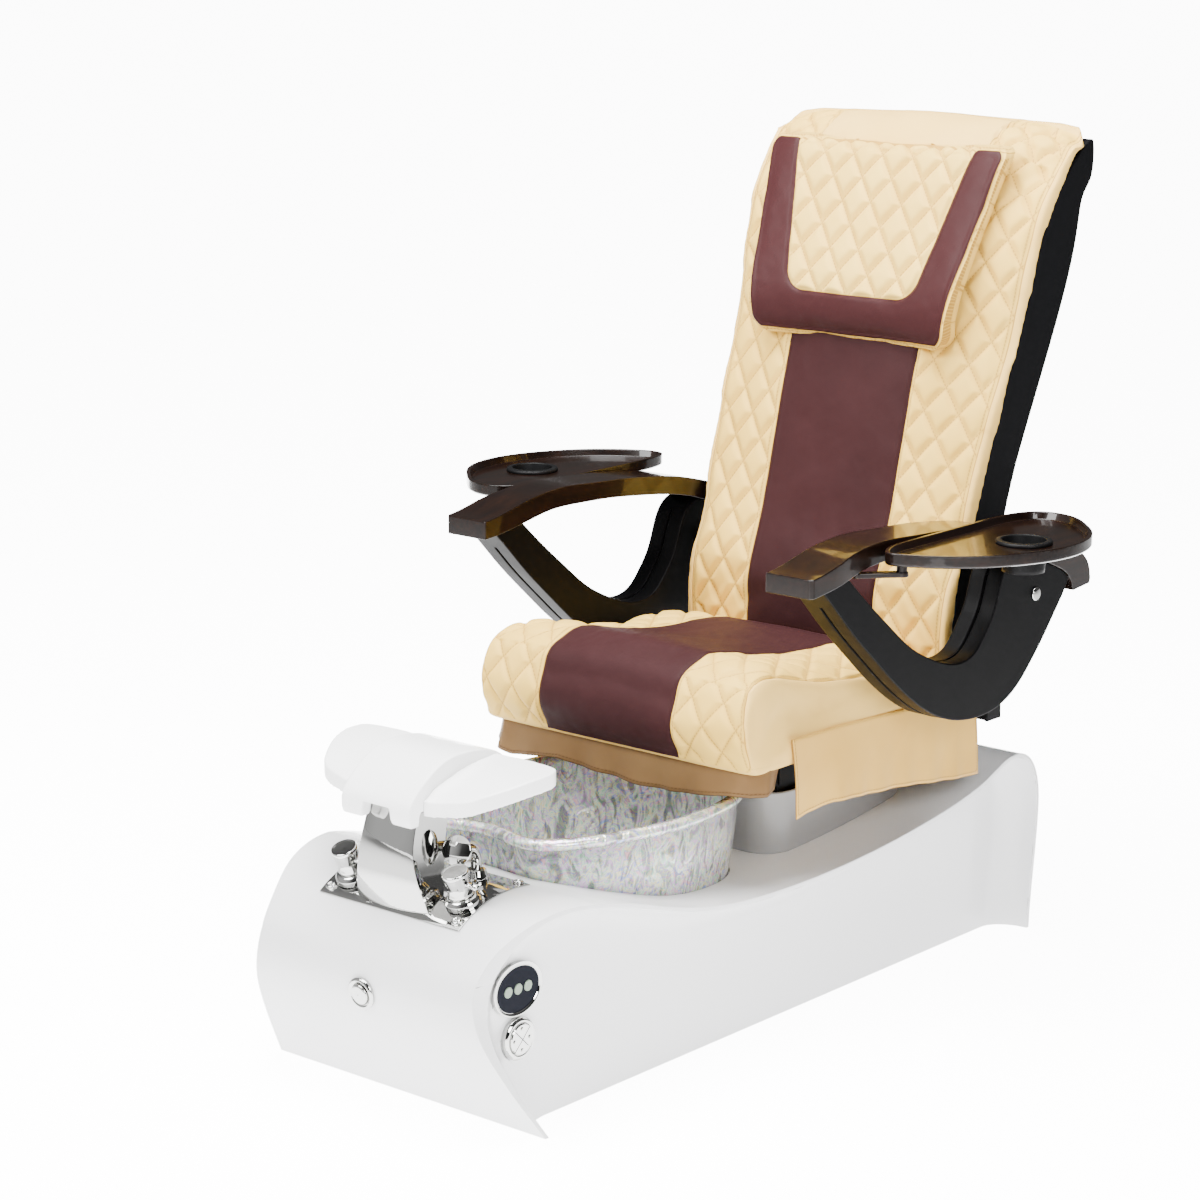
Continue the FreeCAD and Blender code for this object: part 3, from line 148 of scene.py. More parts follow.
# %% [markdown]
# ## The studio
# The picture is a plain product shot on pure white. A white backdrop all round would show in the black
# lacquer and in the chrome, which is why a studio sets up black cards. So the floor looks white to the eye
# from every side, but for reflections and bounced light only the strip behind the chair is lit. The Light
# Path node tells the two apart. The picture's default view presses bright light together and pales strong
# colours, so white needs a lot of light here, and the colours below are deeper than they look. Chrome and
# lacquer show the room: it is dark above and on the right, bright on the front left, and three soft boxes
# light the chair.

# %% Floor
FLOOR_HALF = 70
form = bmesh.new()
bmesh.ops.create_grid(form, x_segments=1, y_segments=1, size=FLOOR_HALF)
floor = place("floor", to_mesh(form, "floor"))
print("floor faces:", len(floor.data.polygons))

# %% [markdown]
# The lit strip widens away from the camera, like the lit paper behind a real product, and grows brighter
# towards the back. It is measured along the camera's aim and across it, in metres on the floor.

# %% Light of the floor
aim_x, aim_y = -math.sin(math.radians(CAMERA_TURN)), math.cos(math.radians(CAMERA_TURN))
CAMERA_AWAY = math.hypot(CAMERA_PLACE[0], CAMERA_PLACE[1])
BACKDROP_LIGHT = 11.5

backdrop, tree, shader, spot = start_material("lit_paper_backdrop", Base_Color="#DCDCDC", Roughness=0.9,
                                              Emission_Color="#FFFFFF")
behind = add(tree, "VectorMath", {0: spot, 1: (aim_x, aim_y, 0)}, operation="DOT_PRODUCT")
beside = add(tree, "VectorMath", {0: spot, 1: (aim_y, -aim_x, 0)}, operation="DOT_PRODUCT")
aside = add(tree, "Math", {0: beside}, operation="ABSOLUTE")
from_camera = add(tree, "Math", {0: behind, 1: CAMERA_AWAY}, operation="ADD")
spread = add(tree, "Math", {0: aside, 1: from_camera}, operation="DIVIDE")
growing = add(tree, "MapRange", {"Value": behind, "From Min": 0.4, "From Max": 4.0, "To Min": 3.6,
                                 "To Max": 13.0}, interpolation_type="SMOOTHSTEP")
strip = add(tree, "MapRange", {"Value": spread, "From Min": 0.20, "From Max": 0.26, "To Min": 1.0,
                               "To Max": 0.04}, interpolation_type="SMOOTHSTEP")
shine = add(tree, "Math", {0: growing, 1: strip}, operation="MULTIPLY")
seen = add(tree, "LightPath").outputs["Is Camera Ray"]
add(tree, "Mix", {"Factor": seen, "A": shine, "B": BACKDROP_LIGHT}, to=shader.inputs["Emission Strength"])
floor.data.materials.append(backdrop)
print("floor light:", len(tree.nodes), "nodes")

# %% Room
room = bpy.data.worlds.new("room")
room.use_nodes = True
scene.world = room
sky, light = room.node_tree, room.node_tree.nodes["Background"]
way = add(sky, "TexCoord").outputs["Generated"]
height = add(sky, "SeparateXYZ", {"Vector": way}).outputs["Z"]
level = add(sky, "MapRange", {"Value": height, "From Min": -0.1, "From Max": 1.0})
walls = add(sky, "ValToRGB", {"Fac": level},
            stops=[(0.0, "#767676"), (0.12, "#646464"), (0.3, "#5A5A5A"), (0.6, "#6A6A6A"), (1.0, "#9A9A9A")])
window = add(sky, "VectorMath", {0: way, 1: (-0.62, -0.74, 0.26)}, operation="DOT_PRODUCT")
glow = add(sky, "MapRange", {"Value": window, "From Min": 0.55, "From Max": 0.95})
corner = add(sky, "VectorMath", {0: way, 1: (0.95, -0.25, 0.15)}, operation="DOT_PRODUCT")
gloom = add(sky, "MapRange", {"Value": corner, "From Min": 0.45, "From Max": 0.9})
darker = add(sky, "Mix", {"Factor": gloom, "A": walls, "B": "#2E2E2E"}, data_type="RGBA")
lighter = add(sky, "Mix", {"Factor": glow, "A": darker, "B": "#E6E6E6"}, data_type="RGBA")
seen = add(sky, "LightPath").outputs["Is Camera Ray"]
add(sky, "Mix", {"Factor": seen, "A": lighter, "B": "#FFFFFF"}, to=light.inputs["Color"], data_type="RGBA")
add(sky, "Mix", {"Factor": seen, "A": 1.0, "B": BACKDROP_LIGHT + 1.0}, to=light.inputs["Strength"])
print("room light:", len(sky.nodes), "nodes")

# %% Soft boxes
def soft_box(name, spot, aim, size, power):
    lamp = bpy.data.lights.new(name, "AREA")
    lamp.shape = "RECTANGLE"
    lamp.size, lamp.size_y = size
    lamp.energy = power
    toward = Vector(aim) - Vector(spot)
    turn = toward.to_track_quat("-Z", "Y").to_matrix().to_4x4()
    place(name, lamp).matrix_world = Matrix.Translation(spot) @ turn


soft_box("key", (-1.4, -3.7, 4.0), (0, 0.4, 1.1), (2.6, 2.0), 470)
soft_box("fill", (4.4, -2.0, 3.0), (0, 0.2, 1.0), (2.0, 2.0), 280)
soft_box("top", (0.0, -0.4, 4.4), (0, 0, 0.5), (2.6, 2.6), 680)
print("studio ready")

# %% [markdown]
# ## Finishes of the hard pieces
# Each finish is named for what it is and how it was made. The base is glass fibre with a white gel coat: a
# deep gloss over a slightly wavy mould. The footrest's foam skin and the cover box's ABS sheet are whites of
# the same kind, each a little duller. The box stands in the seat's shade, so its white is set darker.

# %% White gel coat
def gel_coat(name, colour, roughness):
    material, tree, shader, spot = start_material(name, Base_Color=colour, Roughness=roughness, IOR=1.5,
                                                  Coat_Weight=0.35, Coat_Roughness=0.08)
    ripple = add(tree, "TexNoise", {"Vector": spot, "Scale": 28.0, "Detail": 2.0})
    add(tree, "Bump", {"Height": ripple, "Strength": 0.06, "Distance": 0.002}, to=shader.inputs["Normal"])
    print(name, "in", colour)
    return material


white_gel = gel_coat("white_gel_coat", "#DCDCDD", 0.22)
white_pad = gel_coat("white_moulded_foam_skin", "#FDFDFD", 0.32)
white_abs = gel_coat("white_vacuum_formed_abs", "#959596", 0.4)

# %% [markdown]
# Chrome plate is a mirror with a faint waviness from the polished sheet under it. Brushed steel, cast
# aluminium and turned brass are duller metals inside the chair, seen only when it is taken apart.

# %% Metals
def plated(name, colour, roughness, wave):
    material, tree, shader, spot = start_material(name, Base_Color=colour, Metallic=1.0, Roughness=roughness)
    sway = add(tree, "TexNoise", {"Vector": spot, "Scale": 9.0, "Detail": 1.0})
    add(tree, "Bump", {"Height": sway, "Strength": wave, "Distance": 0.004}, to=shader.inputs["Normal"])
    print(name, "in", colour)
    return material


chrome = plated("chrome_plate", "#BFBFBD", 0.045, 0.10)
brushed_steel = plated("brushed_steel", "#A9ABAD", 0.32, 0.15)
aluminium = plated("cast_aluminium", "#B4B6B8", 0.4, 0.2)
brass = plated("turned_brass", "#B08A4A", 0.3, 0.1)

# %% [markdown]
# Paint, rubber and moulded plastic have one colour and a fine grain from the mould or the spray gun. Real
# grains are 0.2 to 1 mm. These are drawn at 1 to 3 mm, so that they show. The arm frames are black satin
# lacquer: dark, with one soft sheen along each curve. The back's shell is black ABS with a moulded texture,
# duller than the arms.

# %% Paint, rubber and plastic
def plain(name, colour, roughness, grain, depth, **sockets):
    """grain is in points per metre, depth in metres."""
    material, tree, shader, spot = start_material(name, Base_Color=colour, Roughness=roughness, **sockets)
    speck = add(tree, "TexNoise", {"Vector": spot, "Scale": grain, "Detail": 3.0})
    add(tree, "Bump", {"Height": speck, "Strength": 0.35, "Distance": depth}, to=shader.inputs["Normal"])
    print(name, "in", colour)
    return material


painted_steel = plain("powder_coated_steel", "#0D0D0E", 0.6, 900.0, 0.0003, Specular_IOR_Level=0.1)
grey_plastic = plain("grey_moulded_plastic", "#3A3C3E", 0.5, 900.0, 0.0003)
pale_plastic = plain("pale_pvc", "#D2D3D1", 0.4, 400.0, 0.0002)
hose_rubber = plain("braided_hose", "#8A8C8E", 0.45, 700.0, 0.0006)
roller_rubber = plain("moulded_rubber", "#1C1C1D", 0.7, 800.0, 0.0004)
arm_black = plain("black_satin_lacquer", "#070708", 0.42, 420.0, 0.0002, Specular_IOR_Level=0.06)
shell_black = plain("black_textured_abs", "#08080A", 0.6, 650.0, 0.0005, Specular_IOR_Level=0.05)
cup_black = plain("black_cup_plastic", "#09090A", 0.5, 500.0, 0.0002, Specular_IOR_Level=0.12)
button_green = plain("pale_green_button_plastic", "#6F7F6C", 0.35, 300.0, 0.0001)
slate = plain("slate_panel_film", "#0E1018", 0.45, 200.0, 0.0001, Specular_IOR_Level=0.03)

# %% [markdown]
# The basin is glass fibre with a hot-stamped silver foil under clear resin. The foil is crinkled, so it
# mirrors the room in small broken patches, and the resin splits the light into faint pink, green and blue.
# The crinkle's bump breaks up the real reflections, and brighter and darker flakes in the colour are painted
# reflection on top of it. The real flakes are a few millimetres wide. They are drawn at 20 to 30 mm, so that
# they show.

# %% Crinkled silver foil under resin
foil, tree, shader, spot = start_material("silver_foil_under_resin", Metallic=0.45, Roughness=0.2,
                                          Coat_Weight=0.5, Coat_Roughness=0.06)
drift = add(tree, "TexNoise", {"Vector": spot, "Scale": 44.0, "Detail": 3.0, "Distortion": 2.2})
tints = add(tree, "ValToRGB", {"Fac": drift},
            stops=[(0.30, "#D2D3D4"), (0.39, "#E8B4F0"), (0.44, "#A4E8BE"), (0.49, "#E8E8E6"),
                   (0.53, "#F8E8A0"), (0.58, "#98B8F8"), (0.65, "#F8B8BC"), (0.74, "#E6E6E4")])
wrinkled = add(tree, "Mapping", {"Vector": spot, "Scale": (1.0, 1.0, 0.45)})
crinkle = add(tree, "TexNoise", {"Vector": wrinkled, "Scale": 30.0, "Detail": 4.0, "Distortion": 2.4})
# Painted reflection: the foil's colour is brighter and darker by flakes, on the crinkle's own noise.
flake_reflections = add(tree, "ValToRGB", {"Fac": crinkle},
             stops=[(0.34, "#9A9B9C"), (0.42, "#CECFCF"), (0.49, "#FAFAF9"), (0.56, "#FFFFFF"),
                    (0.65, "#C4C5C6")])
add(tree, "Mix", {"Factor": 1.0, "A": tints, "B": flake_reflections}, to=shader.inputs["Base Color"],
    data_type="RGBA", blend_type="MULTIPLY")
add(tree, "Bump", {"Height": crinkle, "Strength": 0.5, "Distance": 0.008}, to=shader.inputs["Normal"])
print("foil under resin:", len(tree.nodes), "nodes")

# %% [markdown]
# The arm boards and the trays are pressed wood under a dark walnut stain and a thick, high-gloss lacquer. The
# grain runs along the board. It is drawn coarser than real walnut, so that it shows from across a room.

# %% Walnut under lacquer
walnut, tree, shader, spot = start_material("walnut_high_gloss_lacquer", Roughness=0.3, IOR=1.5,
                                            Specular_IOR_Level=0.1, Coat_Weight=0.5, Coat_Roughness=0.02,
                                            Coat_IOR=1.45)
stretched = add(tree, "Mapping", {"Vector": spot, "Scale": (60.0, 5.0, 60.0)})
figure = add(tree, "TexNoise", {"Vector": stretched, "Scale": 1.0, "Detail": 6.0, "Distortion": 0.6})
add(tree, "ValToRGB", {"Fac": figure}, to=shader.inputs["Base Color"],
    stops=[(0.32, "#080302"), (0.5, "#0F0603"), (0.7, "#170A05")])
print("hard finishes:", len(bpy.data.materials))

# %% [markdown]
# ## Give every construction piece its finish
# Pieces whose construction shape is right keep it. A finish is put in the object's material slot.

# %% Finishes by piece
FINISH = [
    (white_gel, ["base_shell"]),
    (white_abs, ["seat_box"]),
    (white_pad, ["footrest_saddle", "footrest_pads"]),
    (foil, ["basin"]),
    (chrome, ["deck_plate", "deck_screws", "pedestal", "mixer_knob", "diverter_knob", "hand_spray",
              "keypad_housing", "keypad_button_1", "keypad_button_2", "keypad_button_3", "keypad_button_4",
              "front_button_bezel", "front_button", "drain_flange", "drain_plug", "jet_cap", "arm_pins",
              "panel_bezel"]),
    (painted_steel, ["floor_pan", "riser_frame", "seat_frame", "back_frame", "massage_rails"]),
    (brushed_steel, ["footrest_track", "slide_rod", "recline_rod", "massage_carriage"]),
    (aluminium, ["slide_actuator", "recline_actuator"]),
    (brass, ["valve_bodies"]),
    (pale_plastic, ["drain_pipe", "jet_impeller"]),
    (hose_rubber, ["supply_hoses"]),
    (grey_plastic, ["jet_motor", "control_box"]),
    (slate, ["panel_face"]),
    (button_green, ["panel_button_1", "panel_button_2", "panel_button_3"]),
    (shell_black, ["back_shell"]),
    (arm_black, ["arm_frame_left", "arm_frame_right"]),
    (walnut, ["arm_board_left", "arm_board_right", "tray_left", "tray_right"]),
    (cup_black, ["cup_left", "cup_right"]),
    (roller_rubber, ["massage_rollers"]),
]
finish_of = {node: finish for finish, group in FINISH for node in group}
for node, finish in finish_of.items():
    nodes[node].data.materials.clear()
    nodes[node].data.materials.append(finish)
print("pieces with a finish:", len(finish_of))

# %% [markdown]
# ## Smooth, softly edged copies
# A construction mesh is loose triangles, so light breaks up on its curves. A copy is merged, its flat faces
# are joined, its sharp edges get a narrow bevel as any moulded or sanded edge has, and the copy stands for
# the node.

# %% A smooth copy of a hard piece
BODY_OF = {node: body for body, group in frame["record"]["behaviour"]["bodies"].items() for node in group}


def merged(node):
    """A bmesh of a construction node with its triangles joined up."""
    form = bmesh.new()
    form.from_mesh(nodes[node].data)
    bmesh.ops.remove_doubles(form, verts=form.verts, dist=1e-6)
    return form


def soften(form, width, above):
    """Joins flat faces, then bevels the edges sharper than an angle."""
    bmesh.ops.dissolve_limit(form, angle_limit=math.radians(0.4), verts=form.verts, edges=form.edges)
    sharp = [e for e in form.edges if e.is_manifold and e.calc_face_angle(0) > math.radians(above)]
    bmesh.ops.bevel(form, geom=sharp, offset=width, offset_type="OFFSET", segments=2, profile=0.5,
                    affect="EDGES", clamp_overlap=False, material=-1)


def refined(node, width, above=38, smooth_below=35):
    """The smooth copy, with edges width wide. It is smooth but across edges sharper than smooth_below."""
    form = merged(node)
    if width:
        soften(form, width, above)
    mesh = to_mesh(form, node + "_finished")
    mesh.materials.append(finish_of[node])
    mesh.shade_smooth()
    mesh.set_sharp_from_angle(angle=math.radians(smooth_below))
    piece = place(node + "_finished", mesh)
    if width:
        even = piece.modifiers.new("even shading", "WEIGHTED_NORMAL")
        even.keep_sharp = True
    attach(piece, BODY_OF[node])
    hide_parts(node)
    return piece


print("bodies that move:", len(set(BODY_OF.values())))

# %% [markdown]
# Moulded and sanded pieces get an edge of about their real radius. Turned and plated ones have theirs from
# the construction already, so they are only made smooth.

# %% Finish the hard pieces
EDGES = {"base_shell": 0.0015, "arm_board_left": 0.002, "arm_board_right": 0.002, "arm_frame_left": 0.0025,
         "arm_frame_right": 0.0025, "tray_left": 0.0012, "tray_right": 0.0012, "pedestal": 0.0008,
         "deck_plate": 0.0006, "seat_box": 0.003, "back_shell": 0.004}
for node, width in EDGES.items():
    print(node, len(refined(node, width).data.polygons), "faces")
for node in ("mixer_knob", "diverter_knob", "hand_spray", "cup_left", "cup_right", "arm_pins", "panel_bezel",
             "keypad_housing", "front_button", "front_button_bezel", "deck_screws", "basin"):
    print(node, len(refined(node, 0.0, smooth_below=40).data.polygons), "faces")

# %% [markdown]
# ### Footrest
# The saddle and its two wings are moulded from soft white foam with a skin, so no edge is crisp. An even skin
# of small faces is laid over the construction shape, and its points are evened out until the edges are round.

# %% Rounded foam parts
def keep_result(piece):
    """Puts what the modifiers make in the mesh itself."""
    graph = bpy.context.evaluated_depsgraph_get()
    done = bpy.data.meshes.new_from_object(piece.evaluated_get(graph))
    piece.modifiers.clear()
    piece.data = done


def even_skin(node, name, voxel):
    """A copy of a node with an even skin of small faces, voxel wide."""
    piece = place(name, to_mesh(merged(node), name))
    skin = piece.modifiers.new("even skin", "REMESH")
    skin.mode = "VOXEL"
    skin.voxel_size = voxel
    return piece


def ease(piece, rounds):
    """Evens out a piece's points some rounds over, and keeps the result."""
    eased = piece.modifiers.new("eased", "SMOOTH")
    eased.factor = 0.5
    eased.iterations = rounds
    keep_result(piece)


for node, rounds in (("footrest_saddle", 5), ("footrest_pads", 6)):
    foam = even_skin(node, node + "_soft", 0.0022)
    ease(foam, rounds)
    foam.data.materials.clear()
    foam.data.materials.append(finish_of[node])
    foam.data.shade_smooth()
    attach(foam, BODY_OF[node])
    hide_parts(node)
    print(foam.name, len(foam.data.polygons), "faces")

# %% [markdown]
# ### Tap bodies
# A tap body is one brass turning. What stands above the deck is plated, and what hangs below it is left bare.

# %% Tap bodies, plated above the deck
taps = refined("valve_bodies", 0.0006, above=30)
taps.data.materials.append(chrome)
(_, deck_front, deck_low), (_, deck_rear, deck_high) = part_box("deck_plate")
for face in taps.data.polygons:
    deck = deck_low + (deck_high - deck_low) * (face.center.y - deck_front) / (deck_rear - deck_front)
    face.material_index = 1 if face.center.z > deck - 0.004 else 0
print("plated faces:", sum(face.material_index for face in taps.data.polygons))

# %% [markdown]
# ## Soft leather covers over foam
# The seat, the back and the pillow are foam under sewn PU leather. A cover is a cloth that the foam presses
# out from inside, so each one starts as its construction shape, taken in a little, gets an even skin of small
# faces, and is blown up as cloth for twenty frames. How far a point may travel is capped, so that the pad
# keeps its size.

# %% Read and write a mesh's points
def points_of(mesh):
    flat = np.empty(len(mesh.vertices) * 3)
    mesh.vertices.foreach_get("co", flat)
    return flat.reshape(-1, 3)


def set_points(mesh, points):
    mesh.vertices.foreach_set("co", np.ascontiguousarray(points, dtype=np.float64).ravel())
    mesh.update()


def normals_of(mesh):
    flat = np.empty(len(mesh.vertices) * 3, dtype=np.float32)
    mesh.vertex_normals.foreach_get("vector", flat)
    return flat.reshape(-1, 3).astype(float)


print("base shell points:", len(points_of(nodes["base_shell"].data)))

# %% Inflate as cloth
COVER_FRAMES = 20
PRESSURE = 4.0
HOLD_LEVELS = (0.25, 0.5, 0.75, 1.0)


def let_it_hang(piece, frames):
    """Runs the cloth from the first frame on, and keeps the last one."""
    for moment in range(1, frames + 1):
        scene.frame_set(moment)
    keep_result(piece)
    scene.frame_set(1)


def inflate(cover, fixed):
    """Blows a cover up. fixed says how firmly each point is held, from 0 to 1."""
    group = cover.vertex_groups.new(name="held")
    for level in HOLD_LEVELS:
        picked = np.nonzero(fixed >= level)[0].tolist()
        group.add(picked, level, "REPLACE")
    cloth = cover.modifiers.new("blown", "CLOTH").settings
    cloth.vertex_group_mass = "held"
    cloth.use_pressure = True
    cloth.uniform_pressure_force = PRESSURE
    cloth.effector_weights.gravity = 0.0
    cloth.quality = 5
    let_it_hang(cover, COVER_FRAMES)


print("cloth frames to a cover:", COVER_FRAMES)

# %% [markdown]
# The cloth draws its corners in and buckles a little. So a cover is eased afterwards, and stretched back to
# the box of its construction piece, from which it may stand a few millimetres proud.

# %% Blow up a cover
def stretch_to(cover, low, high):
    """Stretches a cover to a box."""
    moved = points_of(cover.data)
    share = (moved - moved.min(0)) / (moved.max(0) - moved.min(0))
    set_points(cover.data, low + share * (high - low))


def blown_cover(node, voxel, taken_in, cap, held, easing, proud):
    """The node's shape as a padded cover, in metres. held(points) says which points can't move, as 0 to 1."""
    cover = even_skin(node, node + "_cover", voxel)
    keep_result(cover)
    start = points_of(cover.data)
    fixed = held(start)
    inner = start - normals_of(cover.data) * (taken_in * (1 - fixed))[:, None]
    set_points(cover.data, inner)
    inflate(cover, fixed)
    step = points_of(cover.data) - inner
    length = np.linalg.norm(step, axis=1) + 1e-9
    moved = inner + step * np.minimum(1.0, cap / length)[:, None]
    set_points(cover.data, moved)
    ease(cover, easing)
    low, high = np.array(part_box(node))
    stretch_to(cover, low - proud, high + proud)
    finer = cover.modifiers.new("finer", "SUBSURF")
    finer.levels = finer.render_levels = 1
    keep_result(cover)
    print(cover.name, len(cover.data.polygons), "faces")
    return cover

# %% [markdown]
# ### Quilting and seams
# The quilting is sewn in diamonds about 66 mm wide and 92 mm tall, one point above the other. Two families of
# slanting stitch lines cross. At a line the leather is pulled down into the foam, and between lines it domes
# up.

# %% Quilting and seams as height
DIAMOND = (0.066, 0.092)
LINE_GAP = DIAMOND[0] * DIAMOND[1] / math.hypot(*DIAMOND)


def smooth_step(t):
    t = np.clip(t, 0, 1)
    return t * t * (3 - 2 * t)


def quilted(across, along):
    """0 at a stitch line, up to 1 in the middle of a diamond."""
    a = across / DIAMOND[0] + along / DIAMOND[1]
    b = across / DIAMOND[0] - along / DIAMOND[1]
    near = np.minimum(abs(a - np.round(a)), abs(b - np.round(b))) * LINE_GAP
    dome = abs(np.sin(math.pi * a) * np.sin(math.pi * b))
    return 0.72 * (1 - np.exp(-(near / 0.0065) ** 2)) + 0.28 * dome


def corner_pull(beyond_side, beyond_end, radius):
    """The share of its way that a point past a round corner is pulled back, or 0 where it isn't past it."""
    spread = np.hypot(beyond_side, beyond_end)
    cut = (beyond_side > 0) & (beyond_end > 0) & (spread > radius)
    return np.where(cut, 1 - radius / np.maximum(spread, 1e-6), 0.0)


def groove(distance, width):
    """1 on a seam, fading out at its sides."""
    return np.exp(-(distance / width) ** 2)


def creases(points, scale, seed):
    """A slow, uneven swell, as in leather over foam, from -1 to 1."""
    lift = Vector((seed, seed * 2.0, seed * 3.0))
    return np.array([noise.fractal(Vector(p) * scale + lift, 0.8, 2.0, 3) for p in points])


print("a quilting line every", round(LINE_GAP * 1000), "mm")

# %% [markdown]
# Each point gets its place on the flat panel, across and along, kept as a UV map so that the thread can
# follow it, and its distance to the nearest seam, kept as an attribute.

# %% Places on a panel
def curve_places(points, profile):
    """How far along a side profile, given in mm, each point is, and how far off it, in metres."""
    spots = np.array(profile) / 1000
    steps = np.linalg.norm(np.diff(spots, axis=0), axis=1)
    total = np.concatenate([[0], np.cumsum(steps)])
    best = np.full(len(points), 1e9)
    along = np.zeros(len(points))
    side = points[:, 1:3]
    for (p, q, length, reach) in zip(spots, spots[1:], steps, total):
        t = np.clip(((side - p) @ (q - p)) / length ** 2, 0, 1)
        gap = np.linalg.norm(side - (p + t[:, None] * (q - p)), axis=1)
        closer = gap < best
        best[closer] = gap[closer]
        along[closer] = reach + t[closer] * length
    return along, best


def keep_places(piece, across, along, edge):
    mesh = piece.data
    panel = mesh.uv_layers.get("panel") or mesh.uv_layers.new(name="panel")
    corner = np.empty(len(mesh.loops), dtype=np.int64)
    mesh.loops.foreach_get("vertex_index", corner)
    panel.data.foreach_set("uv", np.stack([across, along], axis=1)[corner].ravel())
    stored = mesh.attributes.get("edge") or mesh.attributes.new("edge", "FLOAT", "POINT")
    stored.data.foreach_set("value", edge)
    print(piece.name, "reaches", round(float(along.max()), 3), "m along its panel")


def cut_at(piece, *planes):
    """Cuts the mesh along planes, given as (point, normal), so that a seam runs on its own edges."""
    form = bmesh.new()
    form.from_mesh(piece.data)
    for spot, normal in planes:
        bmesh.ops.bisect_plane(form, geom=form.verts[:] + form.edges[:] + form.faces[:], dist=1e-5,
                               plane_co=spot, plane_no=normal)
    form.to_mesh(piece.data)
    form.free()


def give_panels(piece, finishes, choose):
    """Sets each face's material by its middle. choose(middles) returns numbers in the list of finishes."""
    mesh = piece.data
    for finish in finishes:
        mesh.materials.append(finish)
    middle = np.empty(len(mesh.polygons) * 3, dtype=np.float32)
    mesh.polygons.foreach_get("center", middle)
    panel = choose(middle.reshape(-1, 3)).astype(np.int32)
    mesh.polygons.foreach_set("material_index", panel)
    mesh.shade_smooth()
    print(piece.name, "faces by panel:", np.bincount(panel).tolist())

# %% [markdown]
# ### Leather and thread
# The cover leather is PU: a soft satin with a fine pebbled grain. The grain of the real one is under a
# millimetre. It is drawn at about 1.5 mm, so that it shows. The thread is a shade darker than the cream
# leather and lies in short stitches, 6 mm apart on the quilting and beside each seam. Along each stitch row
# the colour is darkened in a narrow valley as painted shade, and each seam is drawn as a thin dark line.
# Every line
# is worked out from the panel's places and the distance to its edge, in Math nodes that are listed row by
# row:
# the result's name, the operation, and its inputs, which are earlier results or numbers in metres.

# %% Steps from a place to a seam, a stitch and a valley
SEAM_STEPS = [("off", "ABSOLUTE", "edge"), ("seam", "LESS_THAN", "off", 0.0011),
              ("row", "SUBTRACT", "edge", 0.006), ("beside", "ABSOLUTE", "row"),
              ("slope", "DIVIDE", "beside", 0.003), ("slope", "MINIMUM", "slope", 1.0),
              ("valley", "SUBTRACT", 1.0, "slope"), ("on_row", "LESS_THAN", "beside", 0.0008),
              ("walk", "ADD", "across", "along"), ("count", "MULTIPLY", "walk", 140.0),
              ("part", "FRACT", "count"), ("dash", "LESS_THAN", "part", 0.66),
              ("stitch", "MULTIPLY", "on_row", "dash")]
QUILT_STEPS = [("wide", "DIVIDE", "across", DIAMOND[0]), ("tall", "DIVIDE", "along", DIAMOND[1]),
               ("a", "ADD", "wide", "tall"), ("b", "SUBTRACT", "wide", "tall")]
for line, other in ("ab", "ba"):
    QUILT_STEPS += [("whole", "ROUND", line), ("off", "SUBTRACT", line, "whole"), ("off", "ABSOLUTE", "off"),
                    ("off", "MULTIPLY", "off", LINE_GAP), ("on_line", "LESS_THAN", "off", 0.0011),
                    ("count", "MULTIPLY", other, 8.0), ("part", "FRACT", "count"),
                    ("dash", "LESS_THAN", "part", 0.6), ("sewn", "MULTIPLY", "on_line", "dash"),
                    ("stitch", "MAXIMUM", "stitch", "sewn"), ("slope", "DIVIDE", "off", 0.0042),
                    ("slope", "MINIMUM", "slope", 1.0), ("dip", "SUBTRACT", 1.0, "slope"),
                    ("valley", "MAXIMUM", "valley", "dip")]
# low is painted shade in the stitch valleys, dark is each seam's own thin dark line, and shade is the
# stronger of the two.
DEPTH_STEPS = [("low", "MULTIPLY", "valley", 0.34), ("dark", "MULTIPLY", "seam", 0.8),
               ("shade", "MAXIMUM", "low", "dark"), ("fine", "MULTIPLY", "grain", 0.25),
               ("broad", "MULTIPLY", "swell", 0.5), ("rough", "ADD", "fine", "broad"),
               ("cord", "MULTIPLY", "stitch", 0.8), ("relief", "ADD", "rough", "cord")]
print("steps to a quilted leather:", len(SEAM_STEPS + QUILT_STEPS + DEPTH_STEPS))

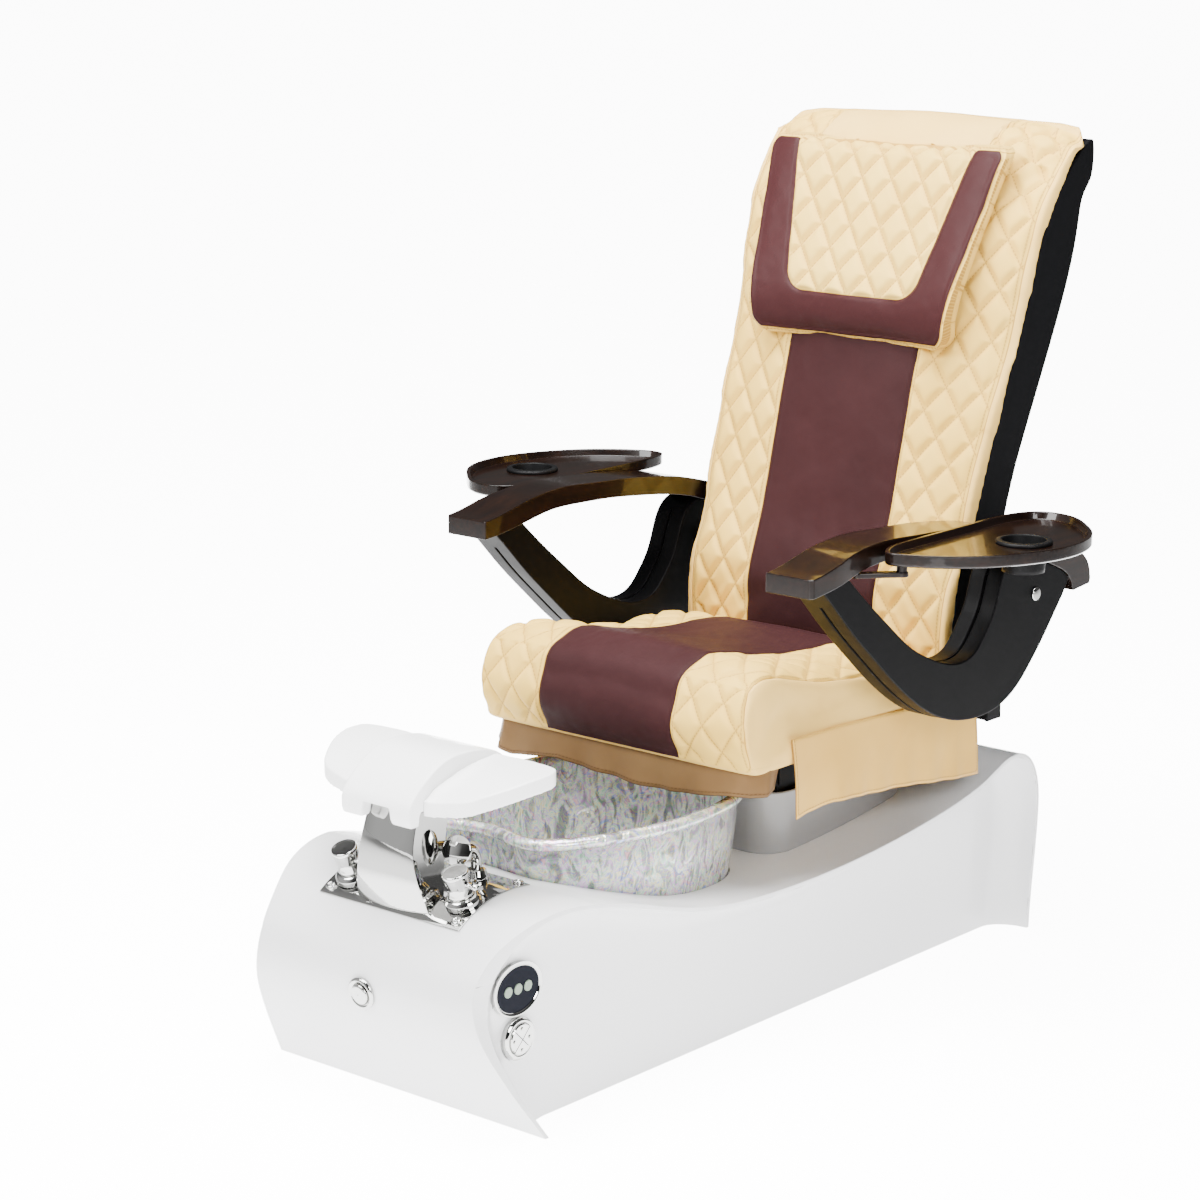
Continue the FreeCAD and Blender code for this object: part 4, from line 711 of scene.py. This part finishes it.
# %% Leather
def leather(name, colour, dark, crease_shade_and_seam, stitch_thread, quilting, roughness=0.42):
    material, tree, shader, spot = start_material(name, Roughness=roughness, IOR=1.5, Specular_IOR_Level=0.07)
    cloud = add(tree, "TexNoise", {"Vector": spot, "Scale": 7.0, "Detail": 3.0})
    body = add(tree, "ValToRGB", {"Fac": cloud}, stops=[(0.3, dark), (0.7, colour)])
    panel = add(tree, "SeparateXYZ", {"Vector": add(tree, "UVMap", uv_map="panel")})
    made = {"across": panel.outputs["X"], "along": panel.outputs["Y"],
            "edge": add(tree, "Attribute", attribute_name="edge").outputs["Fac"],
            "grain": add(tree, "TexVoronoi", {"Vector": spot, "Scale": 650.0}),
            "swell": add(tree, "TexNoise", {"Vector": spot, "Scale": 55.0, "Detail": 2.0})}
    for result, operation, *parts in SEAM_STEPS + (QUILT_STEPS if quilting else []) + DEPTH_STEPS:
        inputs = {number: made.get(part, part) for number, part in enumerate(parts)}
        made[result] = add(tree, "Math", inputs, operation=operation)
    # Painted shade: the colour turns towards the crease colour in the stitch valleys and on the seam lines.
    with_crease_shade_and_seams = add(tree, "Mix", {"Factor": made["shade"], "A": body, "B": crease_shade_and_seam}, data_type="RGBA")
    add(tree, "Mix", {"Factor": made["stitch"], "A": with_crease_shade_and_seams, "B": stitch_thread},
        to=shader.inputs["Base Color"], data_type="RGBA")
    add(tree, "Bump", {"Height": made["relief"], "Strength": 0.35, "Distance": 0.0012},
        to=shader.inputs["Normal"])
    print(name, len(tree.nodes), "nodes")
    return material


# The fourth colour is the painted shade of the stitch valleys and the seams' dark line, and the fifth is the
# stitch thread.
cream_quilted = leather("cream_pu_leather_quilted", "#DEB75A", "#D8B052", "#A1772F", "#B08840", True)
cream_plain = leather("cream_pu_leather", "#DDB768", "#D7AF5F", "#9B7434", "#A98440", False)
burgundy = leather("burgundy_pu_leather", "#2F1819", "#2A1516", "#150808", "#1D0D0D", False, 0.6)

# %% [markdown]
# ### Seat cushion
# The seat has a smooth burgundy strip up its middle, quilted cream panels beside it that roll over the front,
# and plain cream sides. It rests on its frame, so the underside and the back end stay flat and are held.

# %% Blow up the seat
SEAT_STRIP, SEAT_PANEL, SEAM_DROP = 0.148, 0.297, 0.009
SEAT_PROFILE = [(-158, 470), (-174, 520), (-184, 570), (-180, 602), (-166, 636), (-142, 651), (-114, 657),
                (-57, 651), (61, 624), (163, 611), (267, 605), (365, 584), (400, 570)]


def seat_held(points):
    low = smooth_step((0.498 - points[:, 2]) / 0.012)
    rear = smooth_step((points[:, 1] - 0.352) / 0.016)
    return np.maximum(low, rear)


seat = blown_cover("seat_cushion", voxel=0.006, taken_in=0.006, cap=0.010, held=seat_held, easing=14,
                   proud=(0.002, 0.004, 0.002))
cut_at(seat, ((-SEAT_STRIP, 0, 0), (1, 0, 0)), ((SEAT_STRIP, 0, 0), (1, 0, 0)))
print("seat points:", len(seat.data.vertices))

# %% [markdown]
# The seam between a quilted panel and the side runs 9 mm down from the top's edge. The seat's lower sides
# pass between the arm frames, so its width is kept to a limit there.

# %% Sew the seat
SEAT_QUILT_DEPTH, SEAM_DEPTH, SWELL_HEIGHT = 0.0058, 0.0035, 0.0012
SEAT_HALF, ARM_ROOM, ARM_TOP = 0.316, 0.0065, 0.540
where, out = points_of(seat.data), normals_of(seat.data)
across = abs(where[:, 0]) - SEAT_STRIP
along, depth = curve_places(where, SEAT_PROFILE)
to_side = SEAT_PANEL - abs(where[:, 0]) - np.maximum(depth - SEAM_DROP, 0)
edge = np.minimum(across, to_side)
edge[where[:, 2] < 0.492] = 0.02
padded_side = smooth_step((where[:, 2] - 0.485) / 0.02) * smooth_step((0.36 - where[:, 1]) / 0.03)
on_panel = smooth_step((across - 0.002) / 0.01) * smooth_step(to_side / 0.012) * padded_side
height = on_panel * (quilted(across, along) - 0.7) * SEAT_QUILT_DEPTH
height -= SEAM_DEPTH * padded_side * (groove(across, 0.004) + groove(to_side, 0.003))
height += SWELL_HEIGHT * padded_side * creases(where, 14.0, 3.1)
where += out * height[:, None]
limit = SEAT_HALF - ARM_ROOM * smooth_step((ARM_TOP - where[:, 2]) / 0.03)
where[:, 0] = np.clip(where[:, 0], -limit, limit)
set_points(seat.data, where)
keep_places(seat, across, along, edge)

# %% Give the seat its leathers
def seat_panels(middle):
    outside = (middle[:, 2] > 0.486) & (middle[:, 1] < 0.37)
    depth = curve_places(middle, SEAT_PROFILE)[1]
    on_top = SEAT_PANEL - abs(middle[:, 0]) - np.maximum(depth - SEAM_DROP, 0) > 0
    panel = np.where(abs(middle[:, 0]) < SEAT_STRIP, 2, np.where(on_top, 1, 0))
    return np.where(outside, panel, 0)


give_panels(seat, (cream_plain, cream_quilted, burgundy), seat_panels)
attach(seat, "seat")
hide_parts("seat_cushion")

# %% [markdown]
# ### Back cushion
# The back is one tall pad. The burgundy strip runs up its middle as far as the pillow, diamonds fill both
# sides, a plain flap lies over the top, and a plain hem with a row of stitches runs round the edge, where the
# cover meets the black shell. The parting line between the two is known by a few points, and what lies behind
# it is held.

# %% Blow up the back
BACK_STRIP = 0.143
STRIP_TOP = 1.33
BACK_PROFILE = [(385, 510), (392, 548), (383, 590), (420, 735), (462, 875), (514, 1094), (556, 1250),
                (600, 1400), (625, 1437), (650, 1465), (683, 1482), (718, 1492), (790, 1486)]
PARTING = [(410, 560), (425, 640), (445, 741), (478, 823), (497, 875), (545, 1027), (572, 1110), (594, 1175),
           (624, 1290), (664, 1370), (708, 1426), (752, 1464)]


def back_half(z):
    """Half the back's width at a height."""
    share = np.interp(z, [0.54, 0.9, 1.275, 1.484], [0.0, 0.22, 0.74, 1.0])
    return 0.294 + 0.044 * share


def behind(points):
    """How far a point is from the parting line, positive in front, in metres."""
    line = np.array(PARTING) / 1000
    return np.interp(points[:, 2], line[:, 1], line[:, 0]) - points[:, 1]


def back_held(points):
    return smooth_step((0.012 - behind(points)) / 0.008)


back = blown_cover("back_cushion", voxel=0.007, taken_in=0.005, cap=0.011, held=back_held, easing=10,
                   proud=(0.002, 0.0, 0.002))
cut_at(back, ((-BACK_STRIP, 0, 0), (1, 0, 0)), ((BACK_STRIP, 0, 0), (1, 0, 0)),
       ((0, 0, STRIP_TOP), (0, 0, 1)))
print("back points:", len(back.data.vertices))

# %% Sew the back
FLAP_HALF, FLAP_LOW, FLAP_THICK = 0.188, 1.43, 0.0035
BACK_QUILT_DEPTH, BACK_SEAM_DEPTH, HEM_SEAM_DEPTH = 0.0085, 0.004, 0.0025
HEM = 0.014
where, out = points_of(back.data), normals_of(back.data)
across = abs(where[:, 0]) - BACK_STRIP
along, _ = curve_places(where, BACK_PROFILE)
reach = back_half(where[:, 2]) - abs(where[:, 0])
front = smooth_step((behind(where) - 0.004) / 0.014)
edge = np.where((where[:, 2] < STRIP_TOP) & (across < reach - 0.013), across, reach - 0.013)
flap_edge = abs(where[:, 0]) - FLAP_HALF
edge = np.where((where[:, 2] > 1.40) & (abs(flap_edge) < 0.02), flap_edge, edge)
on_panel = smooth_step((across - 0.002) / 0.01) * smooth_step((reach - 0.016) / 0.014) * front
flap = smooth_step((where[:, 2] - FLAP_LOW) / 0.02) * smooth_step((FLAP_HALF - abs(where[:, 0])) / 0.006)
height = on_panel * (1 - flap) * (quilted(across, along) - 0.6) * BACK_QUILT_DEPTH
height += flap * FLAP_THICK * front
height -= BACK_SEAM_DEPTH * front * groove(across, 0.004) * (where[:, 2] < STRIP_TOP)
height -= HEM_SEAM_DEPTH * front * groove(reach - HEM, 0.004)
height += SWELL_HEIGHT * front * creases(where, 11.0, 7.7)
height += SWELL_HEIGHT * front * (across < 0) * creases(where * [1.6, 1.0, 0.8], 9.0, 5.0)
where += out * height[:, None]
limit = back_half(where[:, 2]) + 0.003
where[:, 0] = np.clip(where[:, 0], -limit, limit)
print("deepest seam of the back:", round(float(height.min()) * 1000, 1), "mm")

# %% [markdown]
# The real cover is fuller in front than the foam, its top edge stands up, most at both ends, and its top
# corners are round: 18 mm in front and 36 mm behind, measured from the top's own side profile. Seen from
# above, the cover's rear end is also 36 mm narrower at each side, so the black shell shows beyond it.

# %% Shape the back's top
CORNER_FRONT, CORNER_REAR = 0.018, 0.036
TOP_HALF, DRAWN_IN = 0.341, 0.036
FULLNESS, TOP_LIFT, END_LIFT, REAR_DROP = 0.009, 0.009, 0.004, 0.004
where[:, 1] -= FULLNESS * front * smooth_step((where[:, 2] - 0.60) / 0.15)
corner = np.interp(where[:, 1], [0.65, 0.73], [CORNER_FRONT, CORNER_REAR])
top_line = np.array(BACK_PROFILE[6:]) / 1000
to_rear = np.clip((where[:, 1] - 0.715) / 0.07, 0, 1) ** 1.5
half = TOP_HALF - DRAWN_IN * to_rear * smooth_step((where[:, 2] - 1.44) / 0.03)
where[:, 0] = np.clip(where[:, 0], -half, half)
beyond_side = abs(where[:, 0]) - (half - corner)
beyond_top = where[:, 2] - (np.interp(where[:, 1], top_line[:, 0], top_line[:, 1]) + 0.004 - corner)
pull = corner_pull(beyond_side, beyond_top, corner)
where[:, 0] -= np.sign(where[:, 0]) * beyond_side * pull
where[:, 2] -= beyond_top * pull
rear = smooth_step((where[:, 1] - 0.70) / 0.04)
lifted = (1 - rear) * smooth_step((where[:, 2] - 1.40) / 0.06)
lifted += rear * smooth_step((where[:, 2] - 1.466) / 0.018)
where[:, 2] += lifted * (TOP_LIFT + END_LIFT * smooth_step((abs(where[:, 0]) - 0.10) / 0.2))
rear_corner = smooth_step((abs(where[:, 0]) - 0.26) / 0.05) * smooth_step((where[:, 2] - 1.44) / 0.04)
where[:, 2] -= REAR_DROP * rear_corner * np.clip((where[:, 1] - 0.690) / 0.062, 0, 1) ** 2
set_points(back.data, where)
keep_places(back, across, along, edge)

# %% Give the back its leathers
def back_panels(middle):
    strip = (abs(middle[:, 0]) < BACK_STRIP) & (middle[:, 2] < STRIP_TOP)
    hem = back_half(middle[:, 2]) - abs(middle[:, 0]) < HEM
    flap_here = (middle[:, 2] > 1.44) & (abs(middle[:, 0]) < FLAP_HALF)
    plain_here = hem | flap_here | (behind(middle) < 0.004)
    return np.where(plain_here, 0, np.where(strip, 2, 1))


give_panels(back, (cream_plain, cream_quilted, burgundy), back_panels)
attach(back, "back")
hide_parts("back_cushion")

# %% [markdown]
# ### Head pillow
# The pillow hangs from a flap over the back's top. A burgundy border runs down its sides and along its
# bottom, round a quilted cream middle, and a cream gusset closes its edge. The border is a panel of its own,
# so its seam is drawn from a distance kept at each point, which stays crisp between points.

# %% The pillow's outline
PILLOW_PROFILE = [(505, 1095), (497, 1122), (490, 1160), (498, 1205), (520, 1260), (560, 1350), (590, 1420),
                  (606, 1446), (640, 1470)]
PILLOW_LOW, PILLOW_TOP, BORDER_LOW = 1.105, 1.461, 1.190
HALF_LOW, HALF_TOP, BORDER_HALF_LOW, BORDER_HALF_TOP = 0.213, 0.262, 0.140, 0.194
BOTTOM_ROUND, TOP_ROUND, BORDER_ROUND = 0.034, 0.024, 0.035


def inside_corner(side, end, radius):
    """Distance inside an outline that has a round corner, from the distances inside its two edges."""
    round_here = (side < radius) & (end < radius)
    return np.where(round_here, radius - np.hypot(radius - side, radius - end), np.minimum(side, end))


def pillow_edges(points):
    """Distances inside the pillow's side edge, bottom edge and top edge, in metres."""
    x, z = abs(points[:, 0]), points[:, 2]
    half = HALF_LOW + (z - 1.112) * (HALF_TOP - HALF_LOW) / 0.34
    return half - x, z - PILLOW_LOW, PILLOW_TOP - z


def outline_inside(points):
    """Distance inside the pillow's outline with its round corners, in metres."""
    side, bottom, top = pillow_edges(points)
    return np.minimum(inside_corner(side, bottom, BOTTOM_ROUND), inside_corner(side, top, TOP_ROUND))


def border_inside(points):
    """Distance inside the burgundy border's inner edge, in metres."""
    x, z = abs(points[:, 0]), points[:, 2]
    half = BORDER_HALF_LOW + (z - 1.198) * (BORDER_HALF_TOP - BORDER_HALF_LOW) / 0.25
    return inside_corner(half - x, z - BORDER_LOW, BORDER_ROUND)


def pillow_held(points):
    return np.zeros(len(points))

# %% Blow up the pillow
pillow = blown_cover("pillow", voxel=0.005, taken_in=0.004, cap=0.008, held=pillow_held, easing=16,
                     proud=(0.006, 0.003, 0.007))
where = points_of(pillow.data)
side, bottom, top = pillow_edges(where)
where[:, 0] += np.sign(where[:, 0]) * np.minimum(side, 0)
where[:, 2] += np.maximum(-bottom, 0) - np.maximum(-top, 0)
side, bottom, top = pillow_edges(where)
for end_gap, way, radius in ((bottom, 1, BOTTOM_ROUND), (top, -1, TOP_ROUND)):
    pull = corner_pull(radius - side, radius - end_gap, radius)
    where[:, 0] -= np.sign(where[:, 0]) * (radius - side) * pull
    where[:, 2] += way * (radius - end_gap) * pull
print("pillow points:", len(where))

# %% [markdown]
# Seen from the side, the pillow's face follows a profile, and at its rim it goes back 26 mm. The rim's seam
# lies 6 mm behind the face, or 6 mm inside the outline, and 11 mm inside it along the bottom, where the
# gusset shows. The distances to the top and bottom edges are those from before the corners were rounded.

# %% Sew the pillow
RIM_BACK, RIM_SEAM, BOTTOM_SEAM, RIM_BAND = 0.026, 0.006, 0.011, 0.016
PILLOW_QUILT_DEPTH, WELT_HEIGHT, WELT_SEAM_DEPTH = 0.0095, 0.0018, 0.0020
FORWARD_LOW, LEAN = 0.003, 0.012
outer, inner = outline_inside(where), border_inside(where)
profile = np.array(PILLOW_PROFILE) / 1000
face_line = np.interp(where[:, 2], profile[:, 1], profile[:, 0])
face_line += np.interp(abs(where[:, 0]), [0, 0.15, 0.25, 0.262], [0, 0.002, 0.009, 0.015])
where[:, 1] = np.minimum(where[:, 1], face_line + RIM_BACK + 0.07 * smooth_step(outer / 0.10))
rim = np.maximum(where[:, 1] - face_line - RIM_SEAM, np.maximum(RIM_SEAM - outer, BOTTOM_SEAM - bottom))
set_points(pillow.data, where)
out = normals_of(pillow.data)
along, _ = curve_places(where, PILLOW_PROFILE)
facing_front = smooth_step((-out[:, 1] - 0.1) / 0.3)
at_rim = outer < RIM_BAND
height = facing_front * smooth_step(inner / 0.01) * (quilted(where[:, 0], along) - 0.5)
height *= PILLOW_QUILT_DEPTH
height -= SEAM_DEPTH * facing_front * groove(inner, 0.004)
height += WELT_HEIGHT * at_rim * groove(rim + 0.003, 0.0045)
height -= WELT_SEAM_DEPTH * at_rim * groove(rim - 0.004, 0.003)
height += SWELL_HEIGHT * creases(where, 16.0, 9.3)
where += out * height[:, None]
where[:, 1] -= FORWARD_LOW + LEAN * np.clip((where[:, 2] - 1.12) / 0.33, 0, 1)
set_points(pillow.data, where)
top_seam = 0.007 - top
keep_places(pillow, where[:, 0], along, np.where(top < 0.018, top_seam, np.where(at_rim, rim, -inner)))
border = pillow.data.attributes.new("border", "FLOAT", "POINT")
border.data.foreach_set("value", np.minimum(-top_seam, np.where(at_rim, np.minimum(-inner, -rim), -inner)))

# %% Two-tone leather of the pillow
pillow_leather = leather("two_tone_pu_leather", "#DDB960", "#D7B158", "#A1772F", "#B08840", True)
tree = pillow_leather.node_tree
base_colour = tree.nodes["Principled BSDF"].inputs["Base Color"]
cream = base_colour.links[0].from_socket
inside = add(tree, "Attribute", attribute_name="border").outputs["Fac"]
on_border = add(tree, "Math", {0: inside, 1: 0.0}, operation="GREATER_THAN")
add(tree, "Mix", {"Factor": on_border, "A": cream, "B": "#32191A"}, to=base_colour, data_type="RGBA")
pillow.data.materials.append(pillow_leather)
pillow.data.shade_smooth()
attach(pillow, "back")
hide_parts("pillow")
print("pillow faces:", len(pillow.data.polygons))

# %% [markdown]
# ## Skirts and apron
# Under the seat hang loose sheets of the same leather, sewn on along their top edge, with a folded and
# stitched hem. Each is a grid laid between its top seam and its hem with a slight ripple, and then it hangs
# as cloth for some frames, pinned along the seam. The front corner of each skirt stands out as a free flap.

# %% Seam lines and pins
SHEET_FRAMES = 15


def along_line(points, share):
    """The place at a share of a polyline's length, for many shares."""
    spots = np.array(points, dtype=float) / 1000
    total = np.concatenate([[0], np.cumsum(np.linalg.norm(np.diff(spots, axis=0), axis=1))])
    return np.stack([np.interp(share * total[-1], total, spots[:, k]) for k in range(3)], axis=1)


def pin_and_hang(piece, pinned):
    """Lets a sheet hang as cloth from its pinned points."""
    pins = piece.vertex_groups.new(name="seam")
    pins.add(np.nonzero(pinned)[0].tolist(), 1.0, "REPLACE")
    cloth = piece.modifiers.new("hung", "CLOTH").settings
    cloth.vertex_group_mass = "seam"
    cloth.bending_stiffness, cloth.tension_stiffness, cloth.mass = 25.0, 60.0, 0.4
    let_it_hang(piece, SHEET_FRAMES)


print("cloth frames to a sheet:", SHEET_FRAMES)

# %% [markdown]
# A sheet's grid has 90 faces along its seam. Its flat size is measured before the ripple: the seam's length
# by the longest drop.

# %% Cut and hang a sheet
LEATHER_THICK = 0.0018


def hung_sheet(name, finish, top, hem, rows, outward, ripple):
    """A leather sheet from a top seam to a hem, both given as (x, y, z) in mm. ripple(s, t) is how far it
    stands off along outward, in metres."""
    form = bmesh.new()
    bmesh.ops.create_grid(form, x_segments=90, y_segments=rows, size=0.5)
    mesh = to_mesh(form, name)
    spots = points_of(mesh)
    s, t = spots[:, 0] + 0.5, 0.5 - spots[:, 1]
    high, low = along_line(top, s), along_line(hem, s)
    flat = high + (low - high) * t[:, None]
    set_points(mesh, flat)
    set_points(mesh, flat + np.array(outward, dtype=float) * ripple(s, t)[:, None])
    piece = place(name, mesh)
    pin_and_hang(piece, t < 1.5 / rows)
    length = np.linalg.norm(np.diff(along_line(top, np.linspace(0, 1, 9)), axis=0), axis=1).sum()
    drop = float(np.linalg.norm(low - high, axis=1).max())
    hem_gap = (1 - t) * np.linalg.norm(low - high, axis=1)
    side_gap = np.minimum(s, 1 - s) * length
    keep_places(piece, s * length, t * drop, np.minimum(hem_gap, side_gap))
    piece.data.materials.append(finish)
    piece.data.shade_smooth()
    thick = piece.modifiers.new("leather thickness", "SOLIDIFY")
    thick.thickness, thick.offset = LEATHER_THICK, 0.0
    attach(piece, "seat")
    return piece

# %% Side skirts
SKIRT_TOP = [(-66, 527), (66, 525), (200, 518), (264, 514), (372, 505), (478, 470)]
SKIRT_HEM = [(-39, 382), (0, 388), (57, 392), (110, 388), (160, 383), (266, 374), (375, 359), (499, 345)]
SKIRT_X = 312.5


def skirt_ripple(s, t):
    flare = 0.016 * np.exp(-(s / 0.10) ** 2) + 0.004
    wave = 0.007 * np.sin(2 * math.pi * (2.3 * s + 0.1)) * (1 - np.exp(-s / 0.1))
    return 0.001 + (flare + wave) * t ** 1.4


# The apron is the seat's cream leather. It hangs in the seat's shadow, so its colour is set dark as painted
# shadow.
apron_leather_painted_shadow = leather("cream_pu_leather_painted_seat_shadow", "#6F5638", "#654C30", "#3E2C1A", "#4A3520", False)
# The skirts are the seat's cream leather, set darker than its plain cream as painted shade under the seat's
# edge.
skirt_leather_painted_shade = leather("cream_pu_leather_unpadded_painted_shade", "#C9A050", "#C09647", "#8A642B", "#936D33", False)
for side, label in ((1, "right"), (-1, "left")):
    skirt = hung_sheet("seat_skirt_" + label, skirt_leather_painted_shade, [(side * SKIRT_X, y, z) for y, z in SKIRT_TOP],
                       [(side * SKIRT_X, y, z) for y, z in SKIRT_HEM], 26, (side, 0, 0), skirt_ripple)
    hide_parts("seat_skirts")

# %% Front apron
APRON_TOP = [(-286, -80, 492), (-288, -116, 492), (-262, -146, 492), (270, -146, 492), (303, -116, 492),
             (300, -80, 492)]
APRON_HEM = [(-290, -96, 446), (-296, -126, 438), (-278, -149, 424), (-246, -152, 418), (-130, -149, 433),
             (52, -149, 418), (130, -149, 421), (206, -149, 430), (252, -151, 437), (288, -146, 438),
             (311, -130, 440), (306, -98, 447)]


def apron_ripple(s, t):
    return (0.004 + 0.012 * np.sin(2 * math.pi * (2.6 * s + 0.25))) * np.sin(math.pi * s) * t ** 1.3


# Its dark colour is painted shadow from the seat above.
apron = hung_sheet("seat_apron_hung", apron_leather_painted_shadow, APRON_TOP, APRON_HEM, 12, (0, -1, 0), apron_ripple)
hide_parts("seat_apron")
